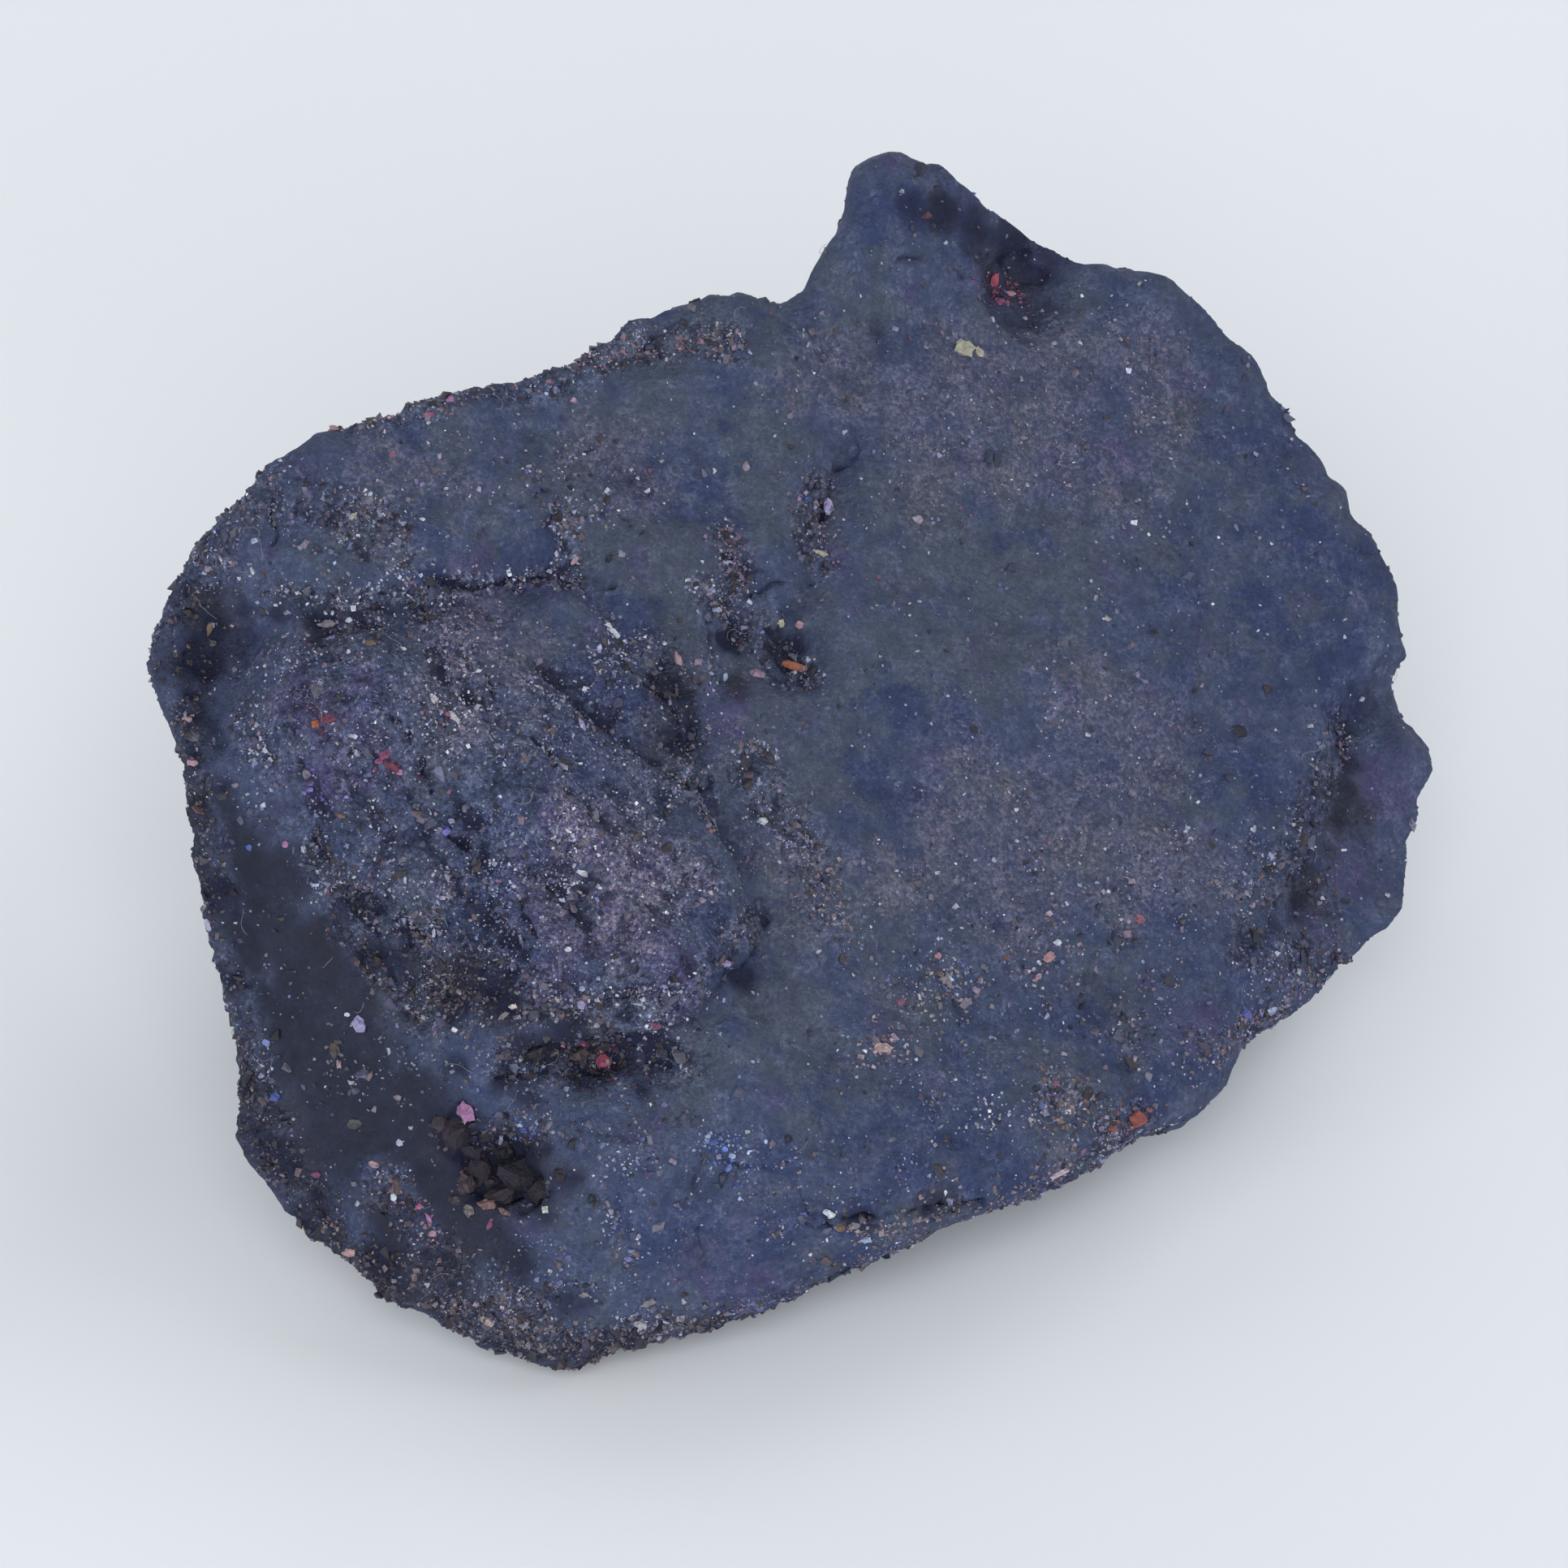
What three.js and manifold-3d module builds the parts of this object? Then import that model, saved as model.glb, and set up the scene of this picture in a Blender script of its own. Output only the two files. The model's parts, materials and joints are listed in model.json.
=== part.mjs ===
// Rough sapphire: one natural stone, worn smooth on its broad upper face and broken elsewhere.
//
// Units are millimetres and +Z is up. The stone lies as it would on a table, on a small flat of its
// underside at z = 0, with its longest extent along X. The origin is on the table, under the middle
// of the bounding box.
//
// The shape starts as a cage of corners, one group for each face or ledge of the stone. The cage is
// split into small triangles, its edges are worn round, and relief is pushed in and out of the skin:
// hollows, grooves, ridges and an overall roughness. The underside is then cut flat where it rests.
import * as THREE from 'three';
import { ConvexHull } from 'three/addons/math/ConvexHull.js';
import { ImprovedNoise } from 'three/addons/math/ImprovedNoise.js';
import { ConvexGeometry } from 'three/addons/geometries/ConvexGeometry.js';
import { TessellateModifier } from 'three/addons/modifiers/TessellateModifier.js';
import { mergeVertices } from 'three/addons/utils/BufferGeometryUtils.js';
import Module from 'manifold-3d';

// Driving dimensions, in millimetres.
const LONGEST_EDGE = 1.5; // no triangle of the worn skin has a longer edge before the relief
const WEAR = [0.5, 0.5, -0.53, 0.5, -0.53, 0.5, -0.53]; // share of the way to its neighbours' middle, in turn
const FOLD_PASSES = 40; // most passes spent on drawing folds flat
const FOLD_COSINE = 0.35; // a face turned further than this from its corner's normal is a fold
const ROUGHNESS = [
  { size: 8, height: 0.45 },
  { size: 4, height: 0.3 },
  { size: 2.2, height: 0.16 },
];
const BROAD_FACE_NORMAL = new THREE.Vector3(0.39, -0.45, 0.8).normalize();
const BROAD_FACE_LEFT = -2; // the broad face ends at about this x
const BROAD_FACE_ROUGHNESS = 0.35; // the broad face is worn smoother than the rest
const HEART = new THREE.Vector3(-1.5, 1.5, 9.5); // every corner can be seen from this point

// Corners of the stone, face by face.
const CORNERS = {
  broadFace: [
    [12.0, 16.8, 17.8], [15.2, 14.5, 15.3], [17.3, 12.5, 13.4], [19.0, 10.8, 11.6],
    [19.4, 8.3, 10.0], [18.7, 6.2, 9.2], [16.8, 3.3, 8.5], [15.7, 0.1, 7.3],
    [14.7, -2.9, 6.2], [13.1, -5.7, 5.4], [10.6, -8.9, 4.9], [7.6, -11.6, 5.0],
    [4.4, -13.6, 5.6], [1.2, -14.1, 6.6], [-2.1, -10.9, 9.9], [-0.7, -8.1, 10.9],
    [0.1, -5.3, 12.1], [-0.2, -2.7, 13.5], [0.4, -0.2, 14.6], [0.7, 3.7, 16.4],
    [1.9, 7.4, 17.9], [3.8, 11.9, 19.6], [8.3, 6.4, 14.7], [8.2, -0.7, 10.8],
    [4.4, -8.9, 8.3],
  ],
  shoulderFace: [
    [-3.0, 5.9, 18.9], [-6.7, 5.2, 19.9], [-11.0, 2.9, 20.2],
    [-13.9, -0.4, 19.3], [-10.0, 0.6, 18.7], [-6.9, 1.8, 18.3], [-4.4, 0.2, 16.6],
  ],
  underTongue: [
    [-16.0, -3.8, 17.6], [-13.1, -4.3, 17.0], [-9.0, -4.6, 15.4], [-6.6, -2.6, 16.2],
    [-2.5, -1.1, 15.2], [-2.4, -7.9, 11.2], [-5.3, -6.1, 13.1], [-9.9, -8.2, 13.4],
    [-6.1, -9.2, 10.7],
  ],
  satinFace: [
    [-13.0, -7.8, 14.6], [-10.4, -10.0, 12.6], [-8.0, -11.4, 10.4], [-9.9, -11.7, 9.1],
    [-12.6, -10.9, 8.1], [-13.8, -8.8, 11.7], [-15.5, -6.9, 14.2], [-10.9, -13.0, 5.0],
    [-16.8, -9.1, 8.3], [-17.9, -7.5, 10.7], [-18.4, -6.0, 13.7], [-17.9, -5.2, 15.7],
    [-16.6, -10.5, 5.5], [-14.9, -12.1, 3.3], [-11.8, -14.1, 2.3],
  ],
  foot: [
    [-5.3, -10.5, 9.6], [-6.5, -13.8, 7.4], [-8.5, -13.2, 7.2], [-2.7, -13.6, 7.2],
    [-7.0, -14.5, 4.0], [-3.6, -14.4, 4.2], [-0.2, -14.5, 5.0], [8.1, -11.1, 3.5],
    [3.2, -14.1, 3.0], [-1.7, -14.5, 1.7], [-5.1, -15.1, 0.8], [-7.3, -15.3, 0.9],
  ],
  lobe: [
    [-18.9, -4.3, 16.4], [-19.8, -2.0, 17.9], [-18.5, 0.1, 19.8], [-16.4, 1.3, 21.3],
    [-15.1, 2.9, 21.9], [-15.1, -2.0, 18.8], [-17.4, -3.0, 17.2],
  ],
  backLedge: [
    [-13.3, 4.1, 21.9], [-10.0, 5.6, 21.9], [-6.6, 7.8, 21.9], [-4.2, 10.0, 21.8],
    [-1.7, 10.9, 21.8], [0.5, 12.0, 21.3], [3.4, 13.2, 20.1], [6.4, 15.0, 19.0],
    [9.5, 16.7, 18.7], [-12.8, 7.0, 17.0], [-9.5, 8.7, 17.0], [-6.0, 11.0, 17.2],
    [-3.0, 13.2, 17.0], [3.0, 15.7, 16.0], [8.5, 17.6, 14.8],
  ],
  rightFlank: [
    [20.2, 6.0, 7.5], [19.9, 3.3, 6.0], [19.0, 0.8, 5.0], [16.7, -1.6, 4.6],
    [13.8, -4.4, 4.2], [12.5, -7.0, 3.8],
  ],
  back: [
    [-15.5, 5.5, 14.0], [-12.5, 9.5, 9.0], [-7.5, 12.5, 12.0], [-5.0, 13.5, 7.0],
    [0.5, 16.3, 12.0], [3.0, 15.5, 6.0], [10.5, 17.8, 11.5], [15.5, 15.5, 9.5],
    [18.5, 11.0, 6.5], [11.5, 14.5, 4.5],
  ],
  leftFlank: [
    [-17.3, 1.8, 14.0], [-16.2, -1.5, 8.0], [-15.5, 4.5, 7.0],
  ],
  underside: [
    [-12.5, -8.0, 1.8], [-9.0, -12.0, 0.5], [-2.0, -12.0, 0.5], [4.0, -10.5, 0.9],
    [10.0, -5.0, 1.0], [13.0, 1.5, 1.4], [16.5, 7.0, 3.2], [10.0, 10.5, 1.6],
    [2.0, 11.0, 1.0], [-7.0, 9.5, 1.6], [-12.0, 3.5, 1.5], [-12.0, -3.0, 1.3],
    [-8.0, -6.0, -0.5], [5.0, -5.0, -0.6], [7.5, 3.5, -0.4], [-6.0, 4.0, -0.6],
    [-1.0, 0.0, -0.9], [0.0, 7.0, -0.2],
  ],
};

// Convex lumps that stand proud of the cage and are grown together with it.
const LUMPS = {
  nub: [
    [1.5, 14.6, 22.6], [2.1, 15.9, 23.1], [4.2, 15.9, 23.2], [2.8, 16.8, 22.4],
    [5.3, 16.0, 22.0], [6.9, 15.7, 20.2], [8.7, 16.2, 18.9], [0.9, 12.2, 20.9],
    [3.8, 11.9, 19.4], [6.0, 13.4, 19.0], [1.0, 15.8, 16.5], [3.2, 17.2, 19.6],
    [6.0, 17.7, 16.8], [8.5, 17.7, 15.2],
  ],
  tongue: [
    [-15.6, -3.9, 17.8], [-13.1, -4.3, 17.4], [-13.0, -7.8, 14.9], [-10.4, -10.2, 12.8],
    [-8.0, -11.6, 10.7], [-5.3, -11.2, 10.4], [-3.0, -10.4, 10.7], [-1.7, -8.6, 11.7],
    [-1.2, -6.4, 12.9], [-2.8, -2.3, 15.1], [-5.5, -0.8, 16.9], [-9.5, -0.6, 18.1],
    [-13.5, -2.0, 18.6], [-7.0, -3.8, 16.7], [-12.0, -4.0, 12.0], [-8.0, -8.0, 8.0],
    [-3.0, -6.0, 9.0], [-6.0, 0.0, 14.0],
  ],
  backSlab: [
    [-11.5, 10.8, 11.5], [-6.0, 13.6, 13.0], [0.0, 16.8, 12.6], [3.5, 17.2, 9.5],
    [3.0, 13.6, 3.2], [-4.0, 11.4, 2.4], [-10.2, 9.0, 3.4], [-6.0, 6.0, 8.0],
    [2.0, 9.0, 8.0],
  ],
  heel: [
    [9.0, 18.2, 12.0], [15.0, 16.2, 10.6], [17.8, 13.4, 8.4], [16.2, 10.6, 3.8],
    [10.5, 13.0, 2.8], [8.0, 17.6, 8.0], [12.0, 10.0, 8.0],
  ],
};

// Round relief. A positive depth goes in along the skin's normal, and fades out at the reach.
const HOLLOWS = {
  lobeCup: { at: [-17.4, -2.0, 18.2], reach: 2.0, depth: 1.1 },
  recess: { at: [-0.8, 1.3, 15.8], reach: 2.6, depth: 0.8 },
  shoulderPits: { at: [-1.6, 3.3, 17.2], reach: 1.1, depth: 0.35 },
  nubPocket: { at: [7.6, 14.7, 19.0], reach: 2.2, depth: 1.4 },
  scoopTop: { at: [17.9, 2.8, 7.3], reach: 3.2, depth: 1.1 },
  scoopFoot: { at: [16.3, -0.4, 6.4], reach: 2.6, depth: 0.8 },
  socket: { at: [-8.6, -13.0, 7.3], reach: 2.0, depth: 1.2 },
  footPit: { at: [-5.1, -13.8, 6.7], reach: 1.4, depth: 0.5 },
  leftNotch: { at: [-16.6, -9.0, 8.3], reach: 1.6, depth: 0.5 },
  backHollow: { at: [-1.0, 15.0, 11.0], reach: 6.0, depth: 1.6 },
  backBulge: { at: [11.0, 17.0, 10.0], reach: 5.0, depth: -0.9 },
  flankHollow: { at: [-16.5, 1.0, 11.0], reach: 4.5, depth: 1.0 },
};

// Relief along a path: grooves go in and ridges come out.
const GROOVES = {
  tongueSeam: {
    path: [[-17.3, -2.2, 18.1], [-15.5, -1.7, 18.9], [-12.9, -1.3, 18.7], [-10.0, 0.3, 18.6],
      [-8.1, 1.0, 18.3], [-6.7, 1.8, 18.2]],
    width: 2.4,
    depth: 0.7,
  },
  lobeNeck: {
    path: [[-17.2, -2.8, 17.6], [-17.3, -4.4, 16.7], [-18.2, -5.0, 15.8]],
    width: 1.9,
    depth: 0.8,
  },
  shoulderPit: {
    path: [[-6.9, 3.0, 18.9], [-6.5, 2.0, 18.3], [-5.6, 0.9, 17.4]],
    width: 1.6,
    depth: 0.4,
  },
  broadFaceCrack: {
    path: [[2.0, 8.0, 18.3], [1.2, 6.1, 17.5], [0.8, 4.9, 17.1], [1.0, 3.8, 16.5],
      [0.5, 1.8, 15.6], [0.3, 0.3, 14.9]],
    width: 1.9,
    depth: 0.5,
  },
  ledgeSeam: {
    path: [[-6.9, 7.7, 21.4], [-4.2, 8.7, 21.1], [-1.7, 9.6, 21.0], [0.2, 11.2, 20.9]],
    width: 2.0,
    depth: 0.5,
  },
  rimChip: {
    path: [[17.6, 5.2, 9.0], [18.9, 6.8, 9.0], [19.6, 7.6, 8.0]],
    width: 2.6,
    depth: 1.1,
  },
  crevice: {
    path: [[-8.2, -11.9, 9.9], [-5.6, -11.1, 9.5], [-2.9, -10.7, 9.8], [-1.0, -8.5, 10.7],
      [-0.5, -6.3, 11.7]],
    width: 1.7,
    depth: 0.4,
  },
  lipCrack: {
    path: [[-1.0, -13.3, 7.2], [0.7, -14.0, 5.9], [2.2, -14.2, 5.1], [4.4, -13.7, 5.0],
      [7.6, -11.6, 4.4]],
    width: 1.5,
    depth: 0.4,
  },
  footCrack: {
    path: [[-2.7, -13.3, 7.4], [-2.7, -13.9, 5.6], [-2.8, -14.3, 4.4]],
    width: 1.4,
    depth: 0.3,
  },
  tongueValley: {
    path: [[-7.1, -1.1, 17.2], [-5.1, -2.7, 16.1], [-2.9, -3.6, 14.6]],
    width: 3.2,
    depth: 0.5,
  },
  tongueFurrow: {
    path: [[-9.9, -6.4, 15.4], [-8.9, -8.9, 13.4], [-8.0, -10.7, 11.7]],
    width: 2.8,
    depth: 0.45,
  },
  tongueRidge: {
    path: [[-11.4, -3.4, 17.6], [-8.0, -5.8, 15.5], [-4.6, -7.2, 13.5], [-3.1, -9.1, 11.9]],
    width: 3.2,
    depth: -0.5,
  },
  satinStep: {
    path: [[-17.9, -5.7, 14.7], [-16.5, -7.5, 11.2], [-15.6, -9.1, 9.1]],
    width: 1.7,
    depth: 0.35,
  },
};

const noise = new ImprovedNoise();

// Joins the corners into a closed cage: two corners are neighbours where they are neighbours on the
// hull of the directions in which they are seen from the heart of the stone.
function buildCage() {
  const cornerOf = new Map();
  for (const [x, y, z] of Object.values(CORNERS).flat()) {
    const corner = new THREE.Vector3(x, y, z);
    cornerOf.set(corner.clone().sub(HEART).normalize(), corner);
  }
  const hull = new ConvexHull().setFromPoints([...cornerOf.keys()]);
  const positions = [];
  for (const face of hull.faces) {
    let edge = face.edge;
    do {
      positions.push(...cornerOf.get(edge.head().point).toArray());
      edge = edge.next;
    } while (edge !== face.edge);
  }
  const cage = new THREE.BufferGeometry();
  cage.setAttribute('position', new THREE.Float32BufferAttribute(positions, 3));
  return cage;
}

function neighboursOf(geometry) {
  const neighbours = Array.from({ length: geometry.attributes.position.count }, () => new Set());
  const index = geometry.index.array;
  for (let i = 0; i < index.length; i += 3) {
    const [a, b, c] = index.slice(i, i + 3);
    neighbours[a].add(b).add(c);
    neighbours[b].add(c).add(a);
    neighbours[c].add(a).add(b);
  }
  return neighbours;
}

// Moves every point part of the way to the middle of its neighbours, which rounds the edges.
function wear(geometry) {
  const position = geometry.attributes.position;
  const neighbours = neighboursOf(geometry);
  const points = neighbours.map((_, i) => new THREE.Vector3().fromBufferAttribute(position, i));
  for (const share of WEAR) {
    const middles = neighbours.map((near) => {
      const middle = new THREE.Vector3();
      for (const i of near) middle.add(points[i]);
      return middle.divideScalar(near.size);
    });
    points.forEach((point, i) => point.lerp(middles[i], share));
  }
  points.forEach((point, i) => position.setXYZ(i, point.x, point.y, point.z));
}

// 1 at the middle of a feature, falling smoothly to 0 at its reach.
function bell(distance, reach) {
  const t = Math.min(distance / reach, 1);
  return (1 - t * t) ** 2;
}

function distanceToPath(point, path) {
  let nearest = Infinity;
  const closest = new THREE.Vector3();
  for (let i = 1; i < path.length; i += 1) {
    const line = new THREE.Line3(new THREE.Vector3(...path[i - 1]), new THREE.Vector3(...path[i]));
    line.closestPointToPoint(point, true, closest);
    nearest = Math.min(nearest, closest.distanceTo(point));
  }
  return nearest;
}

// Height of the relief at a point of the skin, outwards positive.
function reliefAt(point, normal) {
  const facing = THREE.MathUtils.smoothstep(normal.dot(BROAD_FACE_NORMAL), 0.85, 0.97);
  const onBroadFace = facing * THREE.MathUtils.smoothstep(point.x - BROAD_FACE_LEFT, 0, 4);
  const share = THREE.MathUtils.lerp(1, BROAD_FACE_ROUGHNESS, onBroadFace);
  let height = 0;
  for (const { size, height: top } of ROUGHNESS) {
    height += share * top * noise.noise(point.x / size, point.y / size, point.z / size);
  }
  for (const { at, reach, depth } of Object.values(HOLLOWS)) {
    height -= depth * bell(point.distanceTo(new THREE.Vector3(...at)), reach);
  }
  for (const { path, width, depth } of Object.values(GROOVES)) {
    height -= depth * bell(distanceToPath(point, path), width / 2);
  }
  return height;
}

function faceNormals(points, index) {
  const normals = [];
  for (let i = 0; i < index.length; i += 3) {
    const face = new THREE.Triangle(points[index[i]], points[index[i + 1]], points[index[i + 2]]);
    normals.push(face.getNormal(new THREE.Vector3()));
  }
  return normals;
}

// Finds the points where the skin is folded sharply over itself.
function foldedPoints(points, index) {
  const normals = faceNormals(points, index);
  const means = points.map(() => new THREE.Vector3());
  index.forEach((i, corner) => means[i].add(normals[Math.floor(corner / 3)]));
  means.forEach((mean) => mean.normalize());
  const folded = new Set();
  index.forEach((i, corner) => {
    if (means[i].dot(normals[Math.floor(corner / 3)]) < FOLD_COSINE) folded.add(i);
  });
  return folded;
}

// Draws each fold flat, by moving its points and their neighbours to the middle of what is round
// them, until no fold is left.
function smoothFolds(geometry) {
  const position = geometry.attributes.position;
  const index = Array.from(geometry.index.array);
  const neighbours = neighboursOf(geometry);
  const points = neighbours.map((_, i) => new THREE.Vector3().fromBufferAttribute(position, i));
  for (let pass = 0; pass < FOLD_PASSES; pass += 1) {
    const moving = new Set();
    for (const i of foldedPoints(points, index)) {
      moving.add(i);
      neighbours[i].forEach((j) => moving.add(j));
    }
    for (const i of moving) {
      const middle = new THREE.Vector3();
      neighbours[i].forEach((j) => middle.add(points[j]));
      points[i].lerp(middle.divideScalar(neighbours[i].size), 0.5);
    }
  }
  points.forEach((point, i) => position.setXYZ(i, point.x, point.y, point.z));
}

function raiseRelief(geometry) {
  geometry.computeVertexNormals();
  const position = geometry.attributes.position;
  const normals = geometry.attributes.normal;
  const point = new THREE.Vector3();
  const normal = new THREE.Vector3();
  for (let i = 0; i < position.count; i += 1) {
    point.fromBufferAttribute(position, i);
    normal.fromBufferAttribute(normals, i);
    point.addScaledVector(normal, reliefAt(point, normal));
    position.setXYZ(i, point.x, point.y, point.z);
  }
  geometry.deleteAttribute('normal');
}

const wasm = await Module();
wasm.setup();

function toSolid(geometry) {
  for (const name of Object.keys(geometry.attributes)) {
    if (name !== 'position') geometry.deleteAttribute(name);
  }
  const merged = mergeVertices(geometry);
  return new wasm.Manifold(new wasm.Mesh({
    numProp: 3,
    vertProperties: merged.attributes.position.array,
    triVerts: new Uint32Array(merged.index.array),
  }));
}

function toGeometry(solid) {
  const mesh = solid.getMesh();
  const geometry = new THREE.BufferGeometry();
  geometry.setAttribute('position', new THREE.BufferAttribute(mesh.vertProperties, 3));
  geometry.setIndex(new THREE.BufferAttribute(mesh.triVerts, 1));
  return geometry;
}

// Cuts off all that is below the table, which leaves the flat that the stone rests on.
function cutFlat(geometry) {
  const slabSize = 60;
  const slab = new THREE.BoxGeometry(slabSize, slabSize, slabSize).translate(0, 0, -slabSize / 2);
  return toGeometry(toSolid(geometry).subtract(toSolid(slab)));
}

// Puts the middle of the stone's box above the origin, and leaves its height alone.
function centre(geometry) {
  geometry.computeBoundingBox();
  const middle = geometry.boundingBox.getCenter(new THREE.Vector3());
  return geometry.translate(-middle.x, -middle.y, 0);
}

function buildBody() {
  let body = toSolid(buildCage());
  for (const corners of Object.values(LUMPS)) {
    const lump = new ConvexGeometry(corners.map((corner) => new THREE.Vector3(...corner)));
    body = body.add(toSolid(lump));
  }
  return toGeometry(body);
}

function buildStone() {
  const split = new TessellateModifier(LONGEST_EDGE, 12).modify(buildBody());
  const skin = mergeVertices(split);
  wear(skin);
  smoothFolds(skin);
  raiseRelief(skin);
  smoothFolds(skin);
  return centre(cutFlat(skin));
}

const stone = new THREE.Mesh(buildStone(), new THREE.MeshStandardMaterial({
  color: 0x3d475f,
  roughness: 0.75,
  metalness: 0,
}));
stone.name = 'rough_sapphire';

const part = new THREE.Group();
part.add(stone);

export default part;
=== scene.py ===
import json
import math

import bpy
import numpy as np
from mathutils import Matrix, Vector, noise
from mathutils.bvhtree import BVHTree
from mathutils.kdtree import KDTree

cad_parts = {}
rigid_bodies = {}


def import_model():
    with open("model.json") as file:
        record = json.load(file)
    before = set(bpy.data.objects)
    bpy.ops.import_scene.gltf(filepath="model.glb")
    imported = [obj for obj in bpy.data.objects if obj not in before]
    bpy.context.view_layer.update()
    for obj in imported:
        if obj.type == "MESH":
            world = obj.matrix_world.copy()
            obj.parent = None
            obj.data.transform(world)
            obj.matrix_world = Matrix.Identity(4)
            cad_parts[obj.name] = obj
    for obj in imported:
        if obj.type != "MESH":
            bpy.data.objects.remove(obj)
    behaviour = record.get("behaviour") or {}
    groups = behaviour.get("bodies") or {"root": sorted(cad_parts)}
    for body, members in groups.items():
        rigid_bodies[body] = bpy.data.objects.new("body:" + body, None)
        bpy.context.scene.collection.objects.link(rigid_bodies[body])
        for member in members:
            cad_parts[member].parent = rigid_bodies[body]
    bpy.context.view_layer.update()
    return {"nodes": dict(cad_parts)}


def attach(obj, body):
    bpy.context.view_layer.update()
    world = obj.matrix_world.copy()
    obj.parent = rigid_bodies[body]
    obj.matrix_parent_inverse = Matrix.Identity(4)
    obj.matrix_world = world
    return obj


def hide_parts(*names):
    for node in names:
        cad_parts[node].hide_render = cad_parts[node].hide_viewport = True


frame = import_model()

MM = 0.001
IMAGE_SIDE = 1932

# The camera: what it looks at, from how far and how steeply, and its lens.
SIGHT_POINT = Vector((-0.594, -4.480, 13.4)) * MM
SIGHT_DISTANCE = 300 * MM
SIGHT_ELEVATION = math.radians(40)
LENS = 228.2
SENSOR = 36.0
FORWARD = Vector((0, math.cos(SIGHT_ELEVATION), -math.sin(SIGHT_ELEVATION)))
RIGHTWARD = Vector((1, 0, 0))
UPWARD = Vector((0, math.sin(SIGHT_ELEVATION), math.cos(SIGHT_ELEVATION)))
EYE = SIGHT_POINT - FORWARD * SIGHT_DISTANCE
SPREAD = SENSOR / LENS / IMAGE_SIDE  # one pixel's width at unit distance
PIXEL = SPREAD * SIGHT_DISTANCE      # one pixel's width on the stone

# The stone's mesh.
VOXEL = 0.14 * MM
FACE_LIMIT = 194000
WEIGHT_LEVELS = 20                          # steps in a vertex group's weights
LEAST_CRACK = 0.004                         # depth in mm from which the faces are divided
FURROW_WAY = np.array((0.62, -0.35, -0.70))
FOOT_HEIGHT, FOOT_LIFT = 3.0 * MM, 1.4 * MM  # how high the lower edge is lifted, and how far
HOLLOW_ROUNDS, HOLLOW_DEPTH = 6, 0.10 * MM  # fine hollows: rounds of levelling, full depth
BASIN_ROUNDS, BASIN_DEPTH = 60, 0.5 * MM    # broad hollows


# ---------------------------------------------------------------- small tools

def only(piece):
    """Leaves this piece alone selected and active."""
    bpy.ops.object.select_all(action="DESELECT")
    piece.select_set(True)
    bpy.context.view_layer.objects.active = piece


def finish_with(piece, kind, **settings):
    """Adds a modifier with its settings and applies it."""
    only(piece)
    modifier = piece.modifiers.new(kind, kind)
    for key, value in settings.items():
        setattr(modifier, key, value)
    bpy.ops.object.modifier_apply(modifier=modifier.name)


def add_to_scene(name, data):
    """A new object that shows this mesh, curve, light or camera."""
    holder = bpy.data.objects.new(name, data)
    bpy.context.scene.collection.objects.link(holder)
    return holder


def vectors_of(piece, kind):
    """The place ("co") or the facing ("normal") of each of the piece's vertices."""
    found = np.empty(len(piece.data.vertices) * 3, np.float32)
    piece.data.vertices.foreach_get(kind, found)
    return found.reshape(-1, 3).astype(float)


def points_of(piece):
    return vectors_of(piece, "co")


def normals_of(piece):
    return vectors_of(piece, "normal")


def put_points(piece, points):
    piece.data.vertices.foreach_set("co", points.astype(np.float32).ravel())
    piece.data.update()


def smooth_step(low, high, values):
    """0 below low, 1 above high, and a soft ramp between."""
    t = np.clip((values - low) / (high - low), 0, 1)
    return t * t * (3 - 2 * t)


def cloud(points, size, seed):
    """Smooth noise from -1 to 1, with bumps about size millimetres across."""
    shift = Vector((seed * 7.31, seed * 3.17, seed * 5.71))
    scale = 1 / (size * MM)
    return np.array([noise.noise(Vector(p) * scale + shift) for p in points.tolist()])


def tree_of(piece):
    """The piece's faces, for finding points on its skin."""
    faces = [tuple(face.vertices) for face in piece.data.polygons]
    return BVHTree.FromPolygons([v.co for v in piece.data.vertices], faces)


def nearest_of(points):
    """A finder of the nearest of these points."""
    finder = KDTree(len(points))
    for k, place in enumerate(points):
        finder.insert(place, k)
    finder.balance()
    return finder


def paint_tints(mesh, tints):
    """Stores each vertex's own tint for the grain materials."""
    layer = mesh.attributes.new("tint", "FLOAT_COLOR", "POINT")
    layer.data.foreach_set("color", np.c_[tints, np.ones(len(tints))].astype(np.float32).ravel())


def seen_at(skin, u, v):
    """The point of the skin that shows at a pixel, and the way it faces."""
    half = IMAGE_SIDE / 2
    way = FORWARD + (RIGHTWARD * (u - half) + UPWARD * (half - v)) * SPREAD
    place, facing, _, _ = skin.ray_cast(EYE, way.normalized())
    if place is None:
        place, facing, _, _ = skin.find_nearest(EYE + way * SIGHT_DISTANCE)
    return place, facing


# ------------------------------------------------------- places on the stone
# Pixels are (u, v) from the upper left, in a picture 1932 pixels wide. A spot is (u, v, radius),
# and a band is its width and its line.

PIXEL_STEP = 24

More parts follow.
